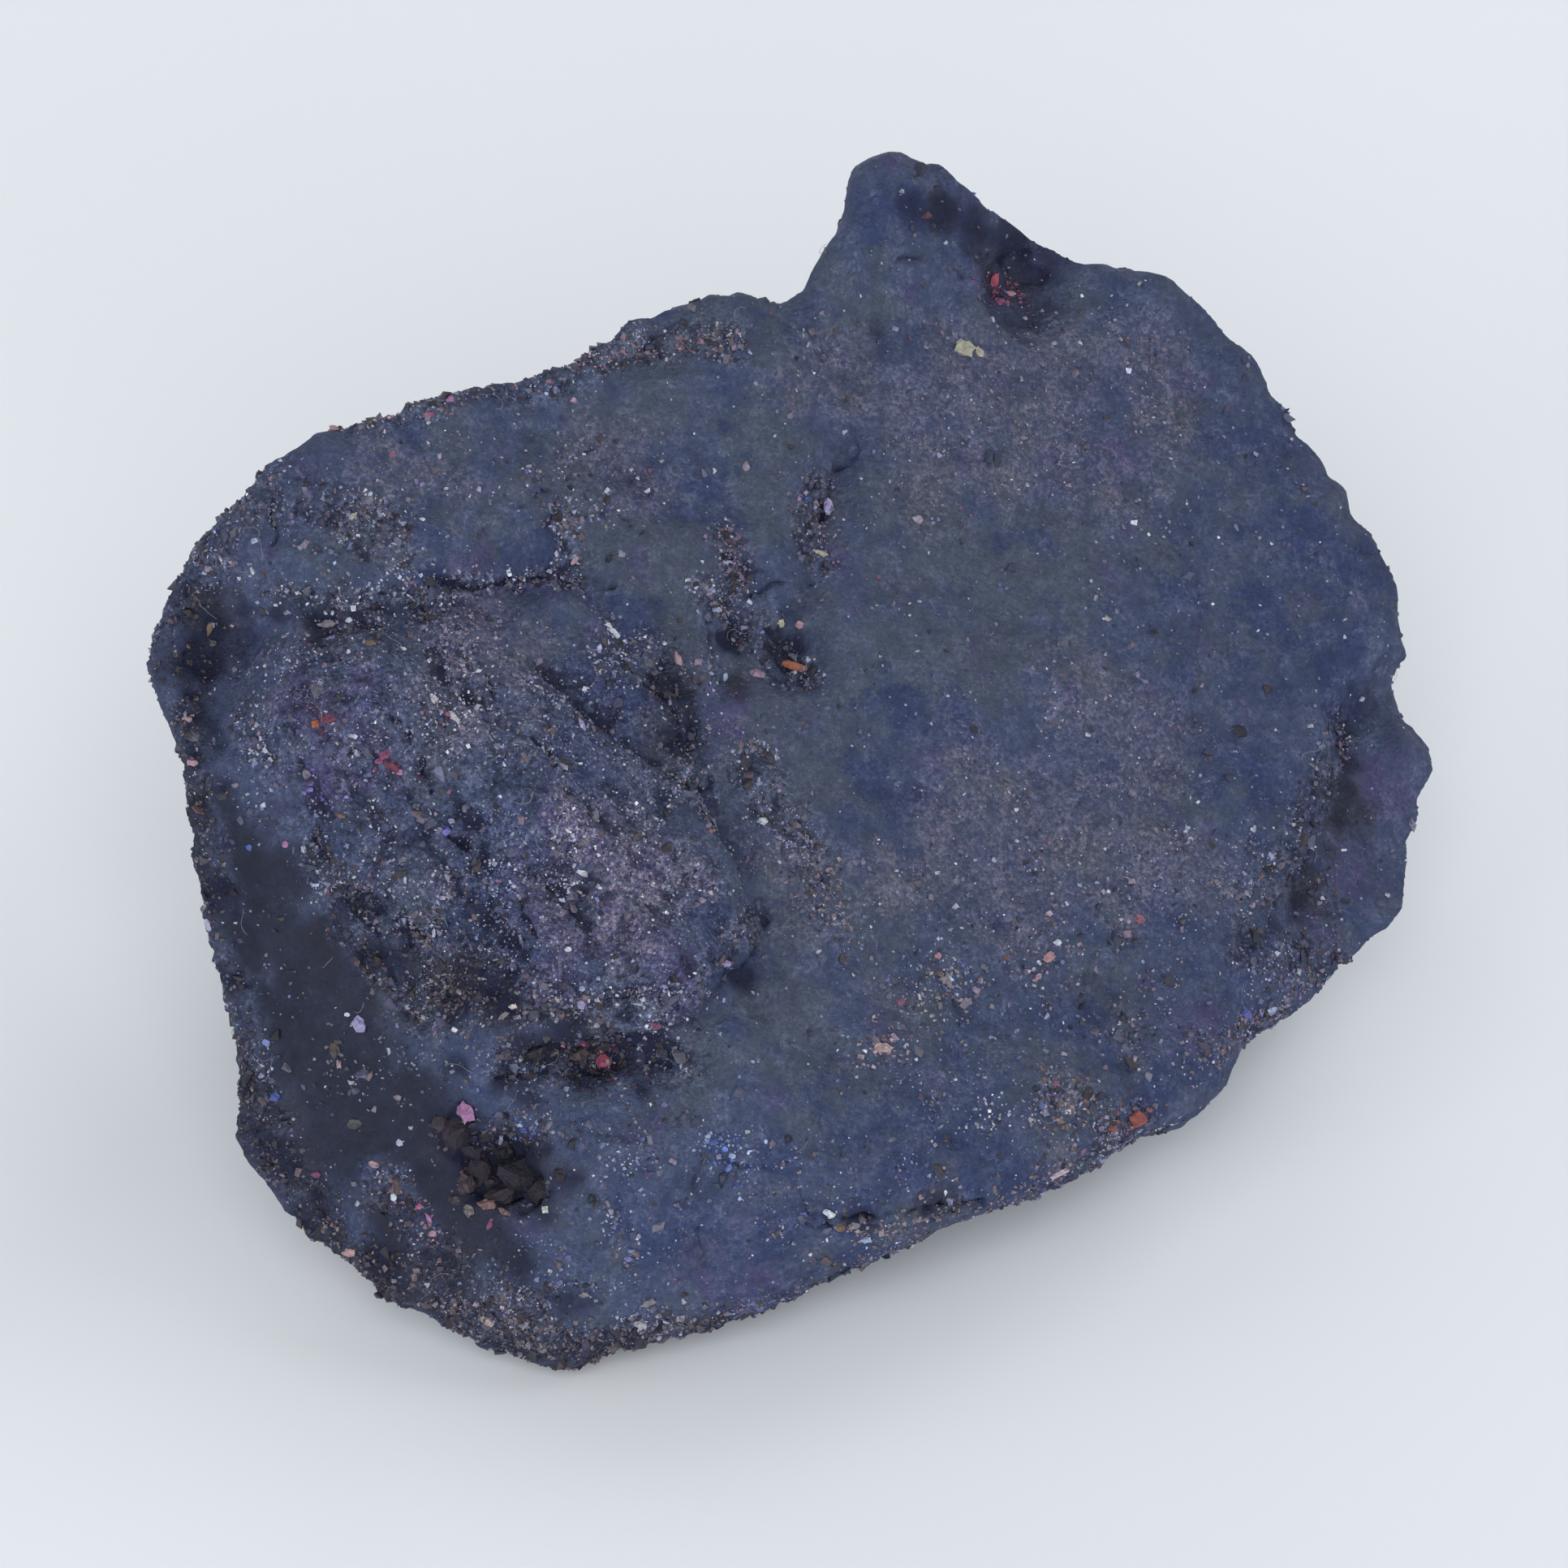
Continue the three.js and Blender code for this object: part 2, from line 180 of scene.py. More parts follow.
SATIN_SPOTS = [
    (285, 1060, 70), (262, 1000, 45), (300, 1165, 55), (375, 1190, 60), (420, 1280, 80),
    (370, 1250, 60), (480, 1370, 80), (430, 1400, 70), (550, 1470, 60), (590, 1530, 55),
    (350, 1080, 45), (395, 1345, 50), (520, 1440, 60), (330, 1120, 50), (350, 1300, 50),
    (450, 1330, 60), (520, 1395, 50), (305, 1235, 44), (560, 1530, 50), (500, 1500, 50),
    (620, 1560, 40),
]
CRUMBLY_BANDS = [
    (34, [(232, 950), (262, 1040), (250, 1130), (285, 1230), (300, 1300)]),
    (46, [(300, 1300), (330, 1400), (380, 1490), (450, 1560)]),
    (40, [(450, 1560), (560, 1620), (690, 1665), (800, 1650), (860, 1640)]),
    (30, [(860, 1640), (1000, 1590), (1130, 1545), (1230, 1500), (1320, 1450), (1400, 1410)]),
    (34, [(385, 1060), (430, 1120), (470, 1190), (520, 1250)]),
    (40, [(520, 1150), (580, 1190), (650, 1225), (720, 1245)]),
    (42, [(640, 1320), (700, 1295), (760, 1300), (830, 1320)]),
    (30, [(720, 1245), (820, 1240), (880, 1190), (930, 1140)]),
    (36, [(470, 1450), (530, 1530), (600, 1580), (650, 1620)]),
    (40, [(640, 1668), (690, 1680), (760, 1668)]),
    (40, [(310, 620), (370, 620), (430, 640), (480, 660)]),
    (34, [(200, 760), (230, 700), (290, 640), (330, 590)]),
    (15, [(330, 730), (400, 740), (470, 735), (560, 722), (680, 715)]),
    (26, [(690, 440), (760, 430), (840, 424), (900, 418)]),
    (22, [(430, 525), (520, 500), (600, 480), (690, 445)]),
    (22, [(690, 640), (705, 680), (700, 720)]),
    (20, [(890, 660), (905, 690), (912, 720)]),
    (26, [(1010, 600), (985, 640), (1005, 690)]),
    (40, [(885, 740), (930, 780), (985, 830)]),
    (30, [(800, 800), (830, 850), (850, 900), (830, 960)]),
    (34, [(930, 950), (960, 1010), (990, 1060), (1010, 1110)]),
    (30, [(1650, 900), (1620, 980), (1590, 1050), (1560, 1110)]),
    (40, [(1540, 1170), (1590, 1180), (1640, 1190)]),
    (30, [(1300, 1350), (1340, 1370), (1400, 1390), (1450, 1400)]),
    (26, [(1500, 1290), (1540, 1270), (1580, 1250)]),
    (24, [(230, 870), (225, 920), (238, 950)]),
]
DUST_SPOTS = [
    (480, 580, 60), (600, 770, 70), (560, 800, 50), (650, 790, 50), (535, 860, 35), (560, 890, 40),
    (740, 1040, 60), (790, 1080, 70), (720, 1010, 50), (830, 1070, 45), (700, 1120, 50),
    (960, 1060, 60), (1000, 1120, 50), (780, 1150, 50), (640, 830, 60), (590, 870, 50),
    (1200, 470, 100), (1300, 540, 90), (1390, 610, 60), (1130, 520, 70), (1420, 440, 70),
    (1340, 860, 80), (1400, 930, 90), (1300, 1000, 100), (1380, 1060, 90), (1250, 1100, 90),
    (1200, 950, 60), (1150, 600, 60), (1020, 460, 70), (1430, 520, 60), (1480, 1080, 60),
    (730, 560, 50), (770, 540, 40), (790, 600, 50), (1300, 440, 70), (1100, 1090, 60),
    (1310, 1340, 40), (1310, 1445, 35), (560, 600, 30), (1230, 590, 60), (1180, 1010, 70),
]
NAVY_SPOTS = [
    (1600, 560, 80), (1640, 700, 110), (1560, 800, 120), (1650, 830, 80), (1480, 760, 90),
    (1530, 960, 90), (1420, 1330, 80), (1350, 1270, 70), (1440, 1360, 60), (1200, 1440, 110),
    (1050, 1440, 90), (900, 1520, 80), (950, 1570, 80), (820, 1520, 60), (1180, 250, 60),
    (1120, 240, 50), (720, 940, 70), (780, 900, 60), (700, 850, 60), (640, 700, 60),
    (560, 720, 50), (640, 1100, 80), (600, 1050, 60), (1100, 980, 70), (1140, 880, 60),
    (880, 1120, 60), (1540, 1230, 50), (760, 760, 50), (860, 620, 50),
]
VIOLET_SPOTS = [
    (400, 880, 90), (400, 950, 80), (370, 820, 60), (450, 900, 60), (620, 740, 90),
    (720, 1060, 90), (780, 1120, 90), (830, 1180, 60), (560, 1130, 60), (700, 1180, 80),
    (900, 1580, 60), (650, 1520, 60), (700, 1480, 50), (1680, 1080, 70), (1640, 1150, 60),
    (1700, 980, 60), (1500, 1300, 60), (1200, 1500, 50), (500, 1000, 60), (1370, 560, 50),
]
GREEN_SPOTS = [
    (1080, 660, 100), (1150, 720, 100), (1250, 700, 90), (1060, 800, 80), (1180, 800, 80),
    (1080, 1160, 90), (1100, 1220, 80), (980, 1200, 90), (960, 1270, 80), (1330, 720, 70),
    (640, 570, 110), (700, 640, 90), (820, 680, 90), (900, 560, 110), (960, 480, 80),
    (800, 480, 90), (580, 650, 80), (1000, 950, 70), (940, 900, 60), (460, 650, 50),
    (860, 1330, 60), (980, 1040, 60), (1050, 360, 60),
]
BROWN_SPOTS = [
    (250, 790, 55), (240, 840, 45), (270, 760, 45), (430, 770, 50), (370, 760, 40),
    (620, 1440, 80), (560, 1390, 60), (690, 1290, 60), (280, 1450, 60), (620, 1220, 50),
    (590, 1200, 45), (820, 850, 50), (830, 900, 50), (1210, 330, 40), (1260, 350, 45),
    (1640, 1000, 60), (1620, 1080, 60), (340, 1430, 60), (450, 1190, 40), (255, 1130, 30),
    (1240, 300, 60), (1540, 1160, 40), (1150, 1490, 35), (330, 630, 40), (1000, 640, 30),
]
# Spots where shade is painted into the colour: in the sockets, crevices, the lobe's cup and along
# some edges.
PIT_SHADE_SPOTS = [
    (600, 1425, 54), (560, 1395, 38), (645, 1458, 48), (690, 1458, 26), (725, 1302, 34),
    (665, 1300, 28), (775, 1310, 24), (640, 1290, 22), (700, 1270, 20), (620, 1330, 18),
    (560, 1310, 16), (520, 1260, 22), (810, 1296, 20), (790, 1344, 18), (650, 1352, 16),
    (1268, 318, 16), (235, 790, 15), (255, 820, 18), (232, 850, 14), (262, 770, 14),
    (215, 822, 12), (246, 880, 12), (300, 750, 14), (905, 782, 20), (962, 800, 22), (914, 700, 16),
    (395, 1062, 24), (440, 1110, 28), (475, 1180, 30), (560, 1240, 30), (268, 1110, 22),
    (280, 1210, 24), (300, 1330, 26), (330, 1420, 30), (380, 1500, 30), (470, 1560, 30),
    (400, 770, 22), (345, 760, 20), (820, 850, 26), (836, 910, 24), (1060, 1500, 18),
    (640, 1555, 20), (700, 1600, 24), (610, 1225, 30), (905, 1200, 24), (940, 1130, 18),
    (1120, 262, 22), (1165, 262, 26), (1205, 276, 28), (1245, 292, 28), (1300, 316, 24),
]
# Spots along the lower rims, the right flank, the lobe's cup and some crevices, where shade is
# painted into the colour.
PAINTED_SHADE_SPOTS = [
    (232, 940, 34), (245, 1010, 36), (250, 1090, 40), (262, 1180, 40), (290, 1290, 50),
    (310, 1370, 60), (350, 1440, 70), (400, 1510, 70), (470, 1570, 70), (560, 1620, 60),
    (640, 1660, 60), (690, 1676, 50), (760, 1664, 50), (860, 1640, 30), (480, 1500, 50),
    (550, 1550, 50), (220, 820, 44), (250, 760, 44), (235, 880, 34), (400, 1150, 34),
    (440, 1200, 40), (500, 1190, 34), (560, 1215, 38), (620, 1250, 36), (680, 1282, 36),
    (720, 1306, 40), (620, 1440, 50), (1665, 940, 16), (1656, 972, 18), (1645, 1010, 20),
    (1630, 1045, 18), (1612, 1080, 18), (1595, 1110, 18), (1572, 1140, 18), (1150, 262, 26),
    (1205, 300, 26), (905, 850, 26), (840, 870, 34),
]
SOCKETS = [
    # pixel, radius in pixels, depth in mm
    (602, 1428, 50, 0.45), (645, 1466, 40, 0.55), (562, 1396, 36, 0.35), (1258, 328, 34, 0.28),
    (1222, 350, 24, 0.25), (240, 812, 26, 0.16), (250, 856, 20, 0.12), (735, 1304, 36, 0.24),
    (675, 1300, 26, 0.18), (908, 788, 28, 0.18), (965, 806, 26, 0.15), (440, 1115, 30, 0.20),
    (560, 1240, 34, 0.20), (836, 905, 30, 0.18),
]
GRITTY_SPOTS = [
    (300, 900, 60), (290, 980, 50), (330, 840, 50), (520, 1290, 80), (620, 1380, 70),
    (760, 1380, 80), (700, 1500, 90), (560, 1580, 60), (800, 1580, 80), (880, 1480, 70),
    (330, 1240, 40), (420, 1330, 50), (960, 1060, 60), (1000, 1130, 60), (900, 920, 60),
    (860, 860, 60), (780, 820, 60), (560, 740, 60), (400, 800, 70), (430, 1080, 60),
    (340, 1160, 40), (440, 640, 70), (360, 640, 60), (560, 560, 50), (720, 600, 60),
    (1230, 1370, 60), (1320, 1360, 60), (1300, 1180, 60), (1170, 1220, 60), (1000, 1480, 70),
    (1100, 1540, 60), (880, 1640, 60), (1580, 1160, 70), (1500, 1280, 60), (1400, 1180, 70),
    (440, 1480, 50), (500, 1540, 50), (640, 1640, 60), (280, 700, 40), (1090, 1290, 60),
    (1150, 1340, 50), (1255, 1235, 55), (1380, 1270, 55), (1450, 1225, 50), (1200, 1130, 50),
    (1330, 1075, 60), (1450, 1095, 60), (1560, 1060, 50), (1150, 1420, 50), (1630, 1130, 55),
]
FURROWED_SPOTS = [
    (360, 900, 70), (440, 850, 110), (560, 860, 120), (480, 950, 110), (600, 960, 120),
    (560, 1060, 110), (690, 1010, 120), (700, 1120, 120), (800, 1090, 110), (830, 1180, 90),
    (620, 1160, 90), (700, 880, 100), (800, 960, 90),
]
CRACKS = [
    # width in mm, depth in mm, line
    (0.09, 0.20, [(690, 1376), (700, 1392), (740, 1398), (790, 1402)]),
    (0.07, 0.12, [(862, 1440), (858, 1480), (864, 1520), (860, 1560)]),
    (0.09, 0.28, [(880, 1420), (905, 1440), (940, 1436), (975, 1455), (1000, 1490), (1015, 1510)]),
    (0.10, 0.36,
     [(1010, 1492), (1044, 1504), (1090, 1500), (1124, 1495), (1170, 1484), (1210, 1474)]),
    (0.08, 0.24, [(1000, 1512), (1060, 1518), (1120, 1510), (1180, 1494), (1240, 1470)]),
    (0.09, 0.30, [(1052, 548), (1040, 570), (1030, 596), (1010, 620), (1004, 660)]),
    (0.08, 0.20, [(880, 740), (905, 726), (950, 722), (1000, 720)]),
    (0.07, 0.16, [(884, 746), (870, 790), (880, 830)]),
    (0.10, 0.18, [(440, 742), (520, 724), (600, 716), (690, 712), (760, 716)]),
    (0.09, 0.18, [(300, 800), (360, 796), (420, 790)]),
    (0.08, 0.15, [(640, 622), (668, 606), (690, 590), (712, 560), (740, 540)]),
    (0.08, 0.14, [(700, 640), (740, 632), (780, 640), (830, 628)]),
    (0.09, 0.20, [(1110, 322), (1150, 318), (1185, 340), (1205, 352)]),
    (0.06, 0.10, [(870, 1330), (930, 1300), (1000, 1270), (1060, 1260)]),
    (0.10, 0.18, [(610, 1330), (650, 1326), (690, 1306), (720, 1316), (770, 1310)]),
    (0.08, 0.16, [(900, 1210), (930, 1180), (945, 1130), (940, 1080)]),
    (0.09, 0.20, [(560, 1030), (600, 1080), (640, 1110), (660, 1150)]),
    (0.10, 0.22, [(790, 840), (830, 880), (850, 940), (880, 980)]),
    (0.08, 0.18, [(1530, 1180), (1570, 1130), (1600, 1070), (1640, 1000)]),
    (0.08, 0.18, [(330, 620), (340, 650), (330, 690)]),
    (0.08, 0.15, [(380, 1000), (400, 1050), (440, 1080)]),
    (0.09, 0.20, [(470, 870), (510, 920), (530, 980), (560, 1010)]),
    (0.08, 0.18, [(600, 840), (640, 900), (680, 930), (700, 990)]),
]


def steps_along(line):
    """The pixels of a line, filled in so that it follows the skin."""
    filled = [line[0]]
    for (u0, v0), (u1, v1) in zip(line[:-1], line[1:]):
        count = max(1, round(math.hypot(u1 - u0, v1 - v0) / PIXEL_STEP))
        for k in range(1, count + 1):
            filled.append((u0 + (u1 - u0) * k / count, v0 + (v1 - v0) * k / count))
    return filled


def gap_to_line(points, skin, line, reach):
    """How far each point is from a line drawn over the skin, or infinity past the reach."""
    stops = np.array([seen_at(skin, u, v)[0] for u, v in steps_along(line)])
    near = np.flatnonzero(np.all((points > stops.min(axis=0) - reach)
                                 & (points < stops.max(axis=0) + reach), axis=1))
    some = points[near]
    best = np.full(len(some), np.inf)
    for a, b in zip(stops[:-1], stops[1:]):
        run = b - a
        t = np.clip((some - a) @ run / (run @ run), 0, 1)
        best = np.minimum(best, np.linalg.norm(some - a - t[:, None] * run, axis=1))
    gap = np.full(len(points), np.inf)
    gap[near] = best
    return gap


def near_spots(points, skin, spots, ragged, soft=0.4):
    """1 inside a spot and 0 past its edge, with the edge made ragged by noise."""
    best = np.zeros(len(points))
    for u, v, radius in spots:
        middle = np.array(seen_at(skin, u, v)[0])
        gap = np.linalg.norm(points - middle, axis=1) / (radius * PIXEL)
        best = np.maximum(best, smooth_step(-soft, soft, 0.95 - gap + 0.45 * ragged))
    return best


def near_bands(points, skin, bands, ragged):
    """1 along each band and 0 past its width."""
    best = np.zeros(len(points))
    for width, line in bands:
        gap = gap_to_line(points, skin, line, 3 * width * PIXEL) / (width * PIXEL)
        best = np.maximum(best, smooth_step(-0.2, 0.5, 1 - gap + 0.5 * ragged))
    return best


def regions_of(points, facing, skin):
    """How much each point belongs to the stone's kinds of skin, or to the spots where shade is
    painted, from 0 to 1.
    """
    ragged = cloud(points, 1.6, 1) + 0.6 * cloud(points, 0.7, 2)
    broad = cloud(points, 6.0, 3)
    middling = cloud(points, 2.6, 4)
    away = smooth_step(0.05, -0.25, -(facing @ np.array(FORWARD)))
    crumbly = near_bands(points, skin, CRUMBLY_BANDS, ragged)
    crumbly = np.maximum(crumbly, away * smooth_step(0.15, 0.5, 0.7 * middling + 0.4 * ragged))
    satin = near_spots(points, skin, SATIN_SPOTS, 0.3 * ragged)
    satin = np.maximum(satin, away * smooth_step(0.32, 0.44, 0.25 * ragged - broad))
    satin = satin * (1 - 0.8 * crumbly)
    region = dict(crumbly=crumbly, satin=satin)
    torn = 1.6 * cloud(points, 1.0, 31) + 1.2 * cloud(points, 0.45, 32)
    for name, spots, hidden, edge, soft in [
        ("dusty", DUST_SPOTS, broad + 0.5 * ragged, ragged, 0.5),
        ("navy", NAVY_SPOTS, cloud(points, 5.0, 5), 1.4 * ragged, 0.7),
        ("violet", VIOLET_SPOTS, cloud(points, 5.0, 6), 1.4 * ragged, 0.7),
        ("green", GREEN_SPOTS, cloud(points, 6.0, 7), 1.4 * ragged, 0.7),
        ("brown", BROWN_SPOTS, cloud(points, 3.5, 8) - 0.1, torn, 0.6),
        # The next two rows mark spots of painted shade: in sockets, crevices and the lobe's cup,
        # then along the rims.
        ("pit_shade", PIT_SHADE_SPOTS, 0.7 * cloud(points, 2.2, 30) + 0.15 * torn - 0.3, torn, 0.7),
        ("gritty", GRITTY_SPOTS, 0.8 * middling + 0.1, ragged, 0.8),
        ("painted_shade", PAINTED_SHADE_SPOTS, 0.7 * cloud(points, 4.0, 33) + 0.15 * torn - 0.2, ragged, 0.7),
        ("furrowed", FURROWED_SPOTS, middling, 1.5 * ragged, 0.7),
    ]:
        shown = near_spots(points, skin, spots, edge, soft)
        region[name] = np.maximum(shown, away * smooth_step(0.0, 0.5, hidden))
    return region


# ------------------------------------------------------------------ the stone

NUDGES = [
    # pixel, radius in pixels, mm to the picture's right and mm up
    (1160, 1600, 160, 0.0, 1.6), (1330, 330, 90, 0.1, 0.45), (1500, 420, 80, 0.35, 0.2),
    (225, 1030, 110, 0.45, 0.0), (190, 820, 60, -0.3, 0.0), (985, 355, 50, 0.0, -0.4),
    (1030, 260, 60, 0.45, 0.0), (1724, 850, 40, -0.32, 0.0), (1745, 945, 55, 0.2, 0.0),
    (385, 1545, 60, 0.4, 0.3), (1690, 1110, 110, 0.45, -0.15), (580, 490, 110, 0.0, 0.25),
]


def nudged(points):
    """Pushes the outline in or out by small amounts across the line of sight."""
    away = points - np.array(EYE)
    depth = away @ np.array(FORWARD)
    u = IMAGE_SIDE / 2 + away @ np.array(RIGHTWARD) / depth / SPREAD
    v = IMAGE_SIDE / 2 - away @ np.array(UPWARD) / depth / SPREAD
    moved = points.copy()
    for middle_u, middle_v, radius, right, up in NUDGES:
        share = np.exp(-((u - middle_u) ** 2 + (v - middle_v) ** 2) / radius ** 2)
        moved += np.outer(share * MM, np.array(RIGHTWARD * right + UPWARD * up))
    moved[:, 2] = np.maximum(moved[:, 2], 0)
    return moved


def paint_group(piece, name, weights):
    """Stores a weight for each vertex as a vertex group, rounded to a few levels."""
    group = piece.vertex_groups.new(name=name)
    level = np.round(np.clip(weights, 0, 1) * WEIGHT_LEVELS).astype(int)
    for share in range(1, WEIGHT_LEVELS + 1):
        group.add(np.flatnonzero(level == share).tolist(), share / WEIGHT_LEVELS, "REPLACE")


def roughen(piece, kind, size, height, group, **settings):
    """Raises a pattern of bumps of this size and height, in mm, where the group is."""
    pattern = bpy.data.textures.new(kind.lower(), kind)
    pattern.noise_scale = size * MM
    for key, value in settings.items():
        setattr(pattern, key, value)
    finish_with(piece, "DISPLACE", texture=pattern, strength=height * MM, mid_level=0.5,
                texture_coords="LOCAL", vertex_group=group)


def copy_of_node(name):
    """The CAD node's shape as a piece of its own, with its loose triangles joined."""
    piece = add_to_scene("stone", frame["nodes"][name].data.copy())
    only(piece)
    bpy.ops.object.mode_set(mode="EDIT")
    bpy.ops.mesh.select_all(action="SELECT")
    bpy.ops.mesh.remove_doubles(threshold=0.0001 * MM)
    bpy.ops.object.mode_set(mode="OBJECT")
    return piece


def crack_depths(points, skin):
    """How deep in mm the cracks cut each point, along wandering and broken lines."""
    astray = np.stack([cloud(points, 0.9, k) + 0.5 * cloud(points, 0.4, k) for k in (9, 10, 11)],
                      axis=1)
    strength = smooth_step(-0.45, 0.1, cloud(points, 1.5, 12))
    moved = points + astray * 0.28 * MM
    deepest = np.zeros(len(points))
    for width, depth, line in CRACKS:
        gap = gap_to_line(moved, skin, line, 3 * width * MM) / (width * MM)
        deepest = np.maximum(deepest, np.exp(-gap * gap) * depth * strength)
    return deepest


def socket_depths(points, skin):
    """How deep in mm the ragged sockets left by lost grains reach at each point."""
    torn = cloud(points, 0.8, 34) + 0.6 * cloud(points, 0.35, 35)
    deepest = np.zeros(len(points))
    for u, v, radius, depth in SOCKETS:
        middle = np.array(seen_at(skin, u, v)[0])
        gap = np.linalg.norm(points - middle, axis=1) / (radius * PIXEL)
        deepest = np.maximum(deepest, depth * smooth_step(-0.1, 0.7, 1 - gap + 0.5 * torn))
    return deepest


def refine_near_cracks(piece, skin):
    """Divides the faces along the cracks, so that a crack can be thinner than a face."""
    mesh = piece.data
    near = crack_depths(points_of(piece), skin) > LEAST_CRACK
    mesh.polygons.foreach_set("select", [False] * len(mesh.polygons))
    mesh.edges.foreach_set("select", [False] * len(mesh.edges))
    mesh.vertices.foreach_set("select", near)
    only(piece)
    bpy.ops.object.mode_set(mode="EDIT")
    bpy.ops.mesh.select_mode(type="VERT")
    bpy.ops.mesh.select_more()
    bpy.ops.mesh.subdivide(number_cuts=1)
    bpy.ops.object.mode_set(mode="OBJECT")


def furrow(points, facing, region):
    """Long low ridges and furrows that run down the bulge, to its lower right."""
    squeezed = points - np.outer(points @ FURROW_WAY * 0.6, FURROW_WAY)
    height = cloud(squeezed, 1.6, 13) * 0.36 + cloud(squeezed, 0.7, 14) * 0.16
    return points + facing * (height * region["furrowed"] * MM)[:, None]


def lift_the_toe(points, facing):
    """Raises the stone's near lower edge off the floor, toward the eye, so its outline stays."""
    edge = (points[:, 2] < 0.2 * MM) & (np.hypot(facing[:, 0], facing[:, 1]) > 0.5)
    toes = nearest_of(points[edge])
    ahead = -facing[edge][:, 1]
    lift = np.zeros(len(points))
    for k in np.flatnonzero(points[:, 2] < FOOT_HEIGHT):
        _, near, gap = toes.find(points[k])
        reach = 1 - smooth_step(0, FOOT_HEIGHT, gap)
        lift[k] = reach * smooth_step(0.0, 0.6, ahead[near])
    return points - np.outer(lift * FOOT_LIFT, np.array(FORWARD))


def spread_over(piece, weight, count, rng):
    """Random points on a piece, denser where the weight is higher, and the way each faces."""
    mesh = piece.data
    mesh.calc_loop_triangles()
    corners = np.empty(len(mesh.loop_triangles) * 3, np.int32)
    mesh.loop_triangles.foreach_get("vertices", corners)
    corners = corners.reshape(-1, 3)
    a, b, c = (points_of(piece)[corners[:, k]] for k in range(3))
    across = np.cross(b - a, c - a)
    double_area = np.linalg.norm(across, axis=1)
    share = double_area * weight[corners].mean(axis=1)
    pick = rng.choice(len(corners), count, p=share / share.sum())
    s, t = rng.random((2, count))
    over = s + t > 1
    s[over], t[over] = 1 - s[over], 1 - t[over]
    places = a[pick] + (b - a)[pick] * s[:, None] + (c - a)[pick] * t[:, None]
    return places, across[pick] / double_area[pick][:, None]


def hollows_of(piece, rounds):
    """How far each point lies under its neighbours' average level, in metres."""
    mesh = piece.data
    edges = np.empty(len(mesh.edges) * 2, np.int32)
    mesh.edges.foreach_get("vertices", edges)
    i, j = edges.reshape(-1, 2).T
    points = points_of(piece)
    count = len(points)
    joined = np.bincount(i, minlength=count) + np.bincount(j, minlength=count)
    level = points.copy()
    for _ in range(rounds):
        level = np.stack([
            (np.bincount(i, level[j, k], count) + np.bincount(j, level[i, k], count)) / joined
            for k in range(3)], axis=1)
    return np.einsum("ij,ij->i", level - points, normals_of(piece))


def store(piece, name, values):
    layer = piece.data.attributes.new(name, "FLOAT", "POINT")
    layer.data.foreach_set("value", values.astype(np.float32))


def make_stone():
    """The stone's skin: the CAD shape remeshed finely, then weathered and cracked."""
    stone = copy_of_node("rough_sapphire")
    finish_with(stone, "REMESH", mode="VOXEL", voxel_size=VOXEL, use_smooth_shade=True)
    put_points(stone, nudged(points_of(stone)))
    skin = tree_of(stone)
    refine_near_cracks(stone, skin)
    points, facing = points_of(stone), normals_of(stone)
    region = regions_of(points, facing, skin)
    cracked, sunk = crack_depths(points, skin), socket_depths(points, skin)
    put_points(stone, furrow(points, facing, region))
    calm = np.clip(region["satin"] + 0.3 * region["green"], 0, 1)
    paint_group(stone, "worn_part", 1 - 0.85 * calm)
    paint_group(stone, "crumbly_part", region["crumbly"])
    busy = np.maximum.reduce([region["crumbly"], region["furrowed"], 0.7 * region["gritty"]]) + 0.2
    paint_group(stone, "busy_part", busy * (1 - 0.9 * region["satin"]))
    roughen(stone, "CLOUDS", 2.4, 0.62, "worn_part", noise_depth=5)
    roughen(stone, "VORONOI", 0.42, -0.20, "crumbly_part")
    roughen(stone, "CLOUDS", 0.34, 0.17, "busy_part", noise_depth=2)
    points = points_of(stone) - normals_of(stone) * ((cracked + sunk) * MM)[:, None]
    points = lift_the_toe(points, normals_of(stone))
    points[:, 2] = np.maximum(points[:, 2], 0)
    put_points(stone, points)
    store(stone, "cracked", np.clip(cracked / 0.25, 0, 1))
    triangles = sum(len(face.vertices) - 2 for face in stone.data.polygons)
    finish_with(stone, "DECIMATE", ratio=FACE_LIMIT / triangles)
    stone.vertex_groups.clear()
    for name, values in regions_of(points_of(stone), normals_of(stone), skin).items():
        store(stone, name, values)
    for name, rounds, depth in (("hollow", HOLLOW_ROUNDS, HOLLOW_DEPTH),
                                ("basin", BASIN_ROUNDS, BASIN_DEPTH)):
        store(stone, name, np.clip(0.5 + hollows_of(stone, rounds) / depth, 0, 1))
    return stone


# --------------------------------------------------------------- shader maths

class Value:
    """A socket of a material, on which + - * add their Math nodes."""

    def __init__(self, recipe, socket):
        self.recipe = recipe
        self.socket = socket

    def maths(self, operation, other):
        node = self.recipe.node("ShaderNodeMath", dict(operation=operation), {0: self, 1: other})
        return Value(self.recipe, node.outputs[0])

    def __add__(self, other):
        return self.maths("ADD", other)

    def __sub__(self, other):
        return self.maths("SUBTRACT", other)

    def __mul__(self, other):
        return self.maths("MULTIPLY", other)

    def __rsub__(self, other):
        return (self * -1.0) + other

    __radd__ = __add__
    __rmul__ = __mul__

    def between(self, low, high):
        """0 at low, 1 at high, with a soft ramp."""
        node = self.recipe.node("ShaderNodeMapRange", dict(interpolation_type="SMOOTHSTEP"),
                                {"Value": self, "From Min": low, "From Max": high})
        return Value(self.recipe, node.outputs[0])


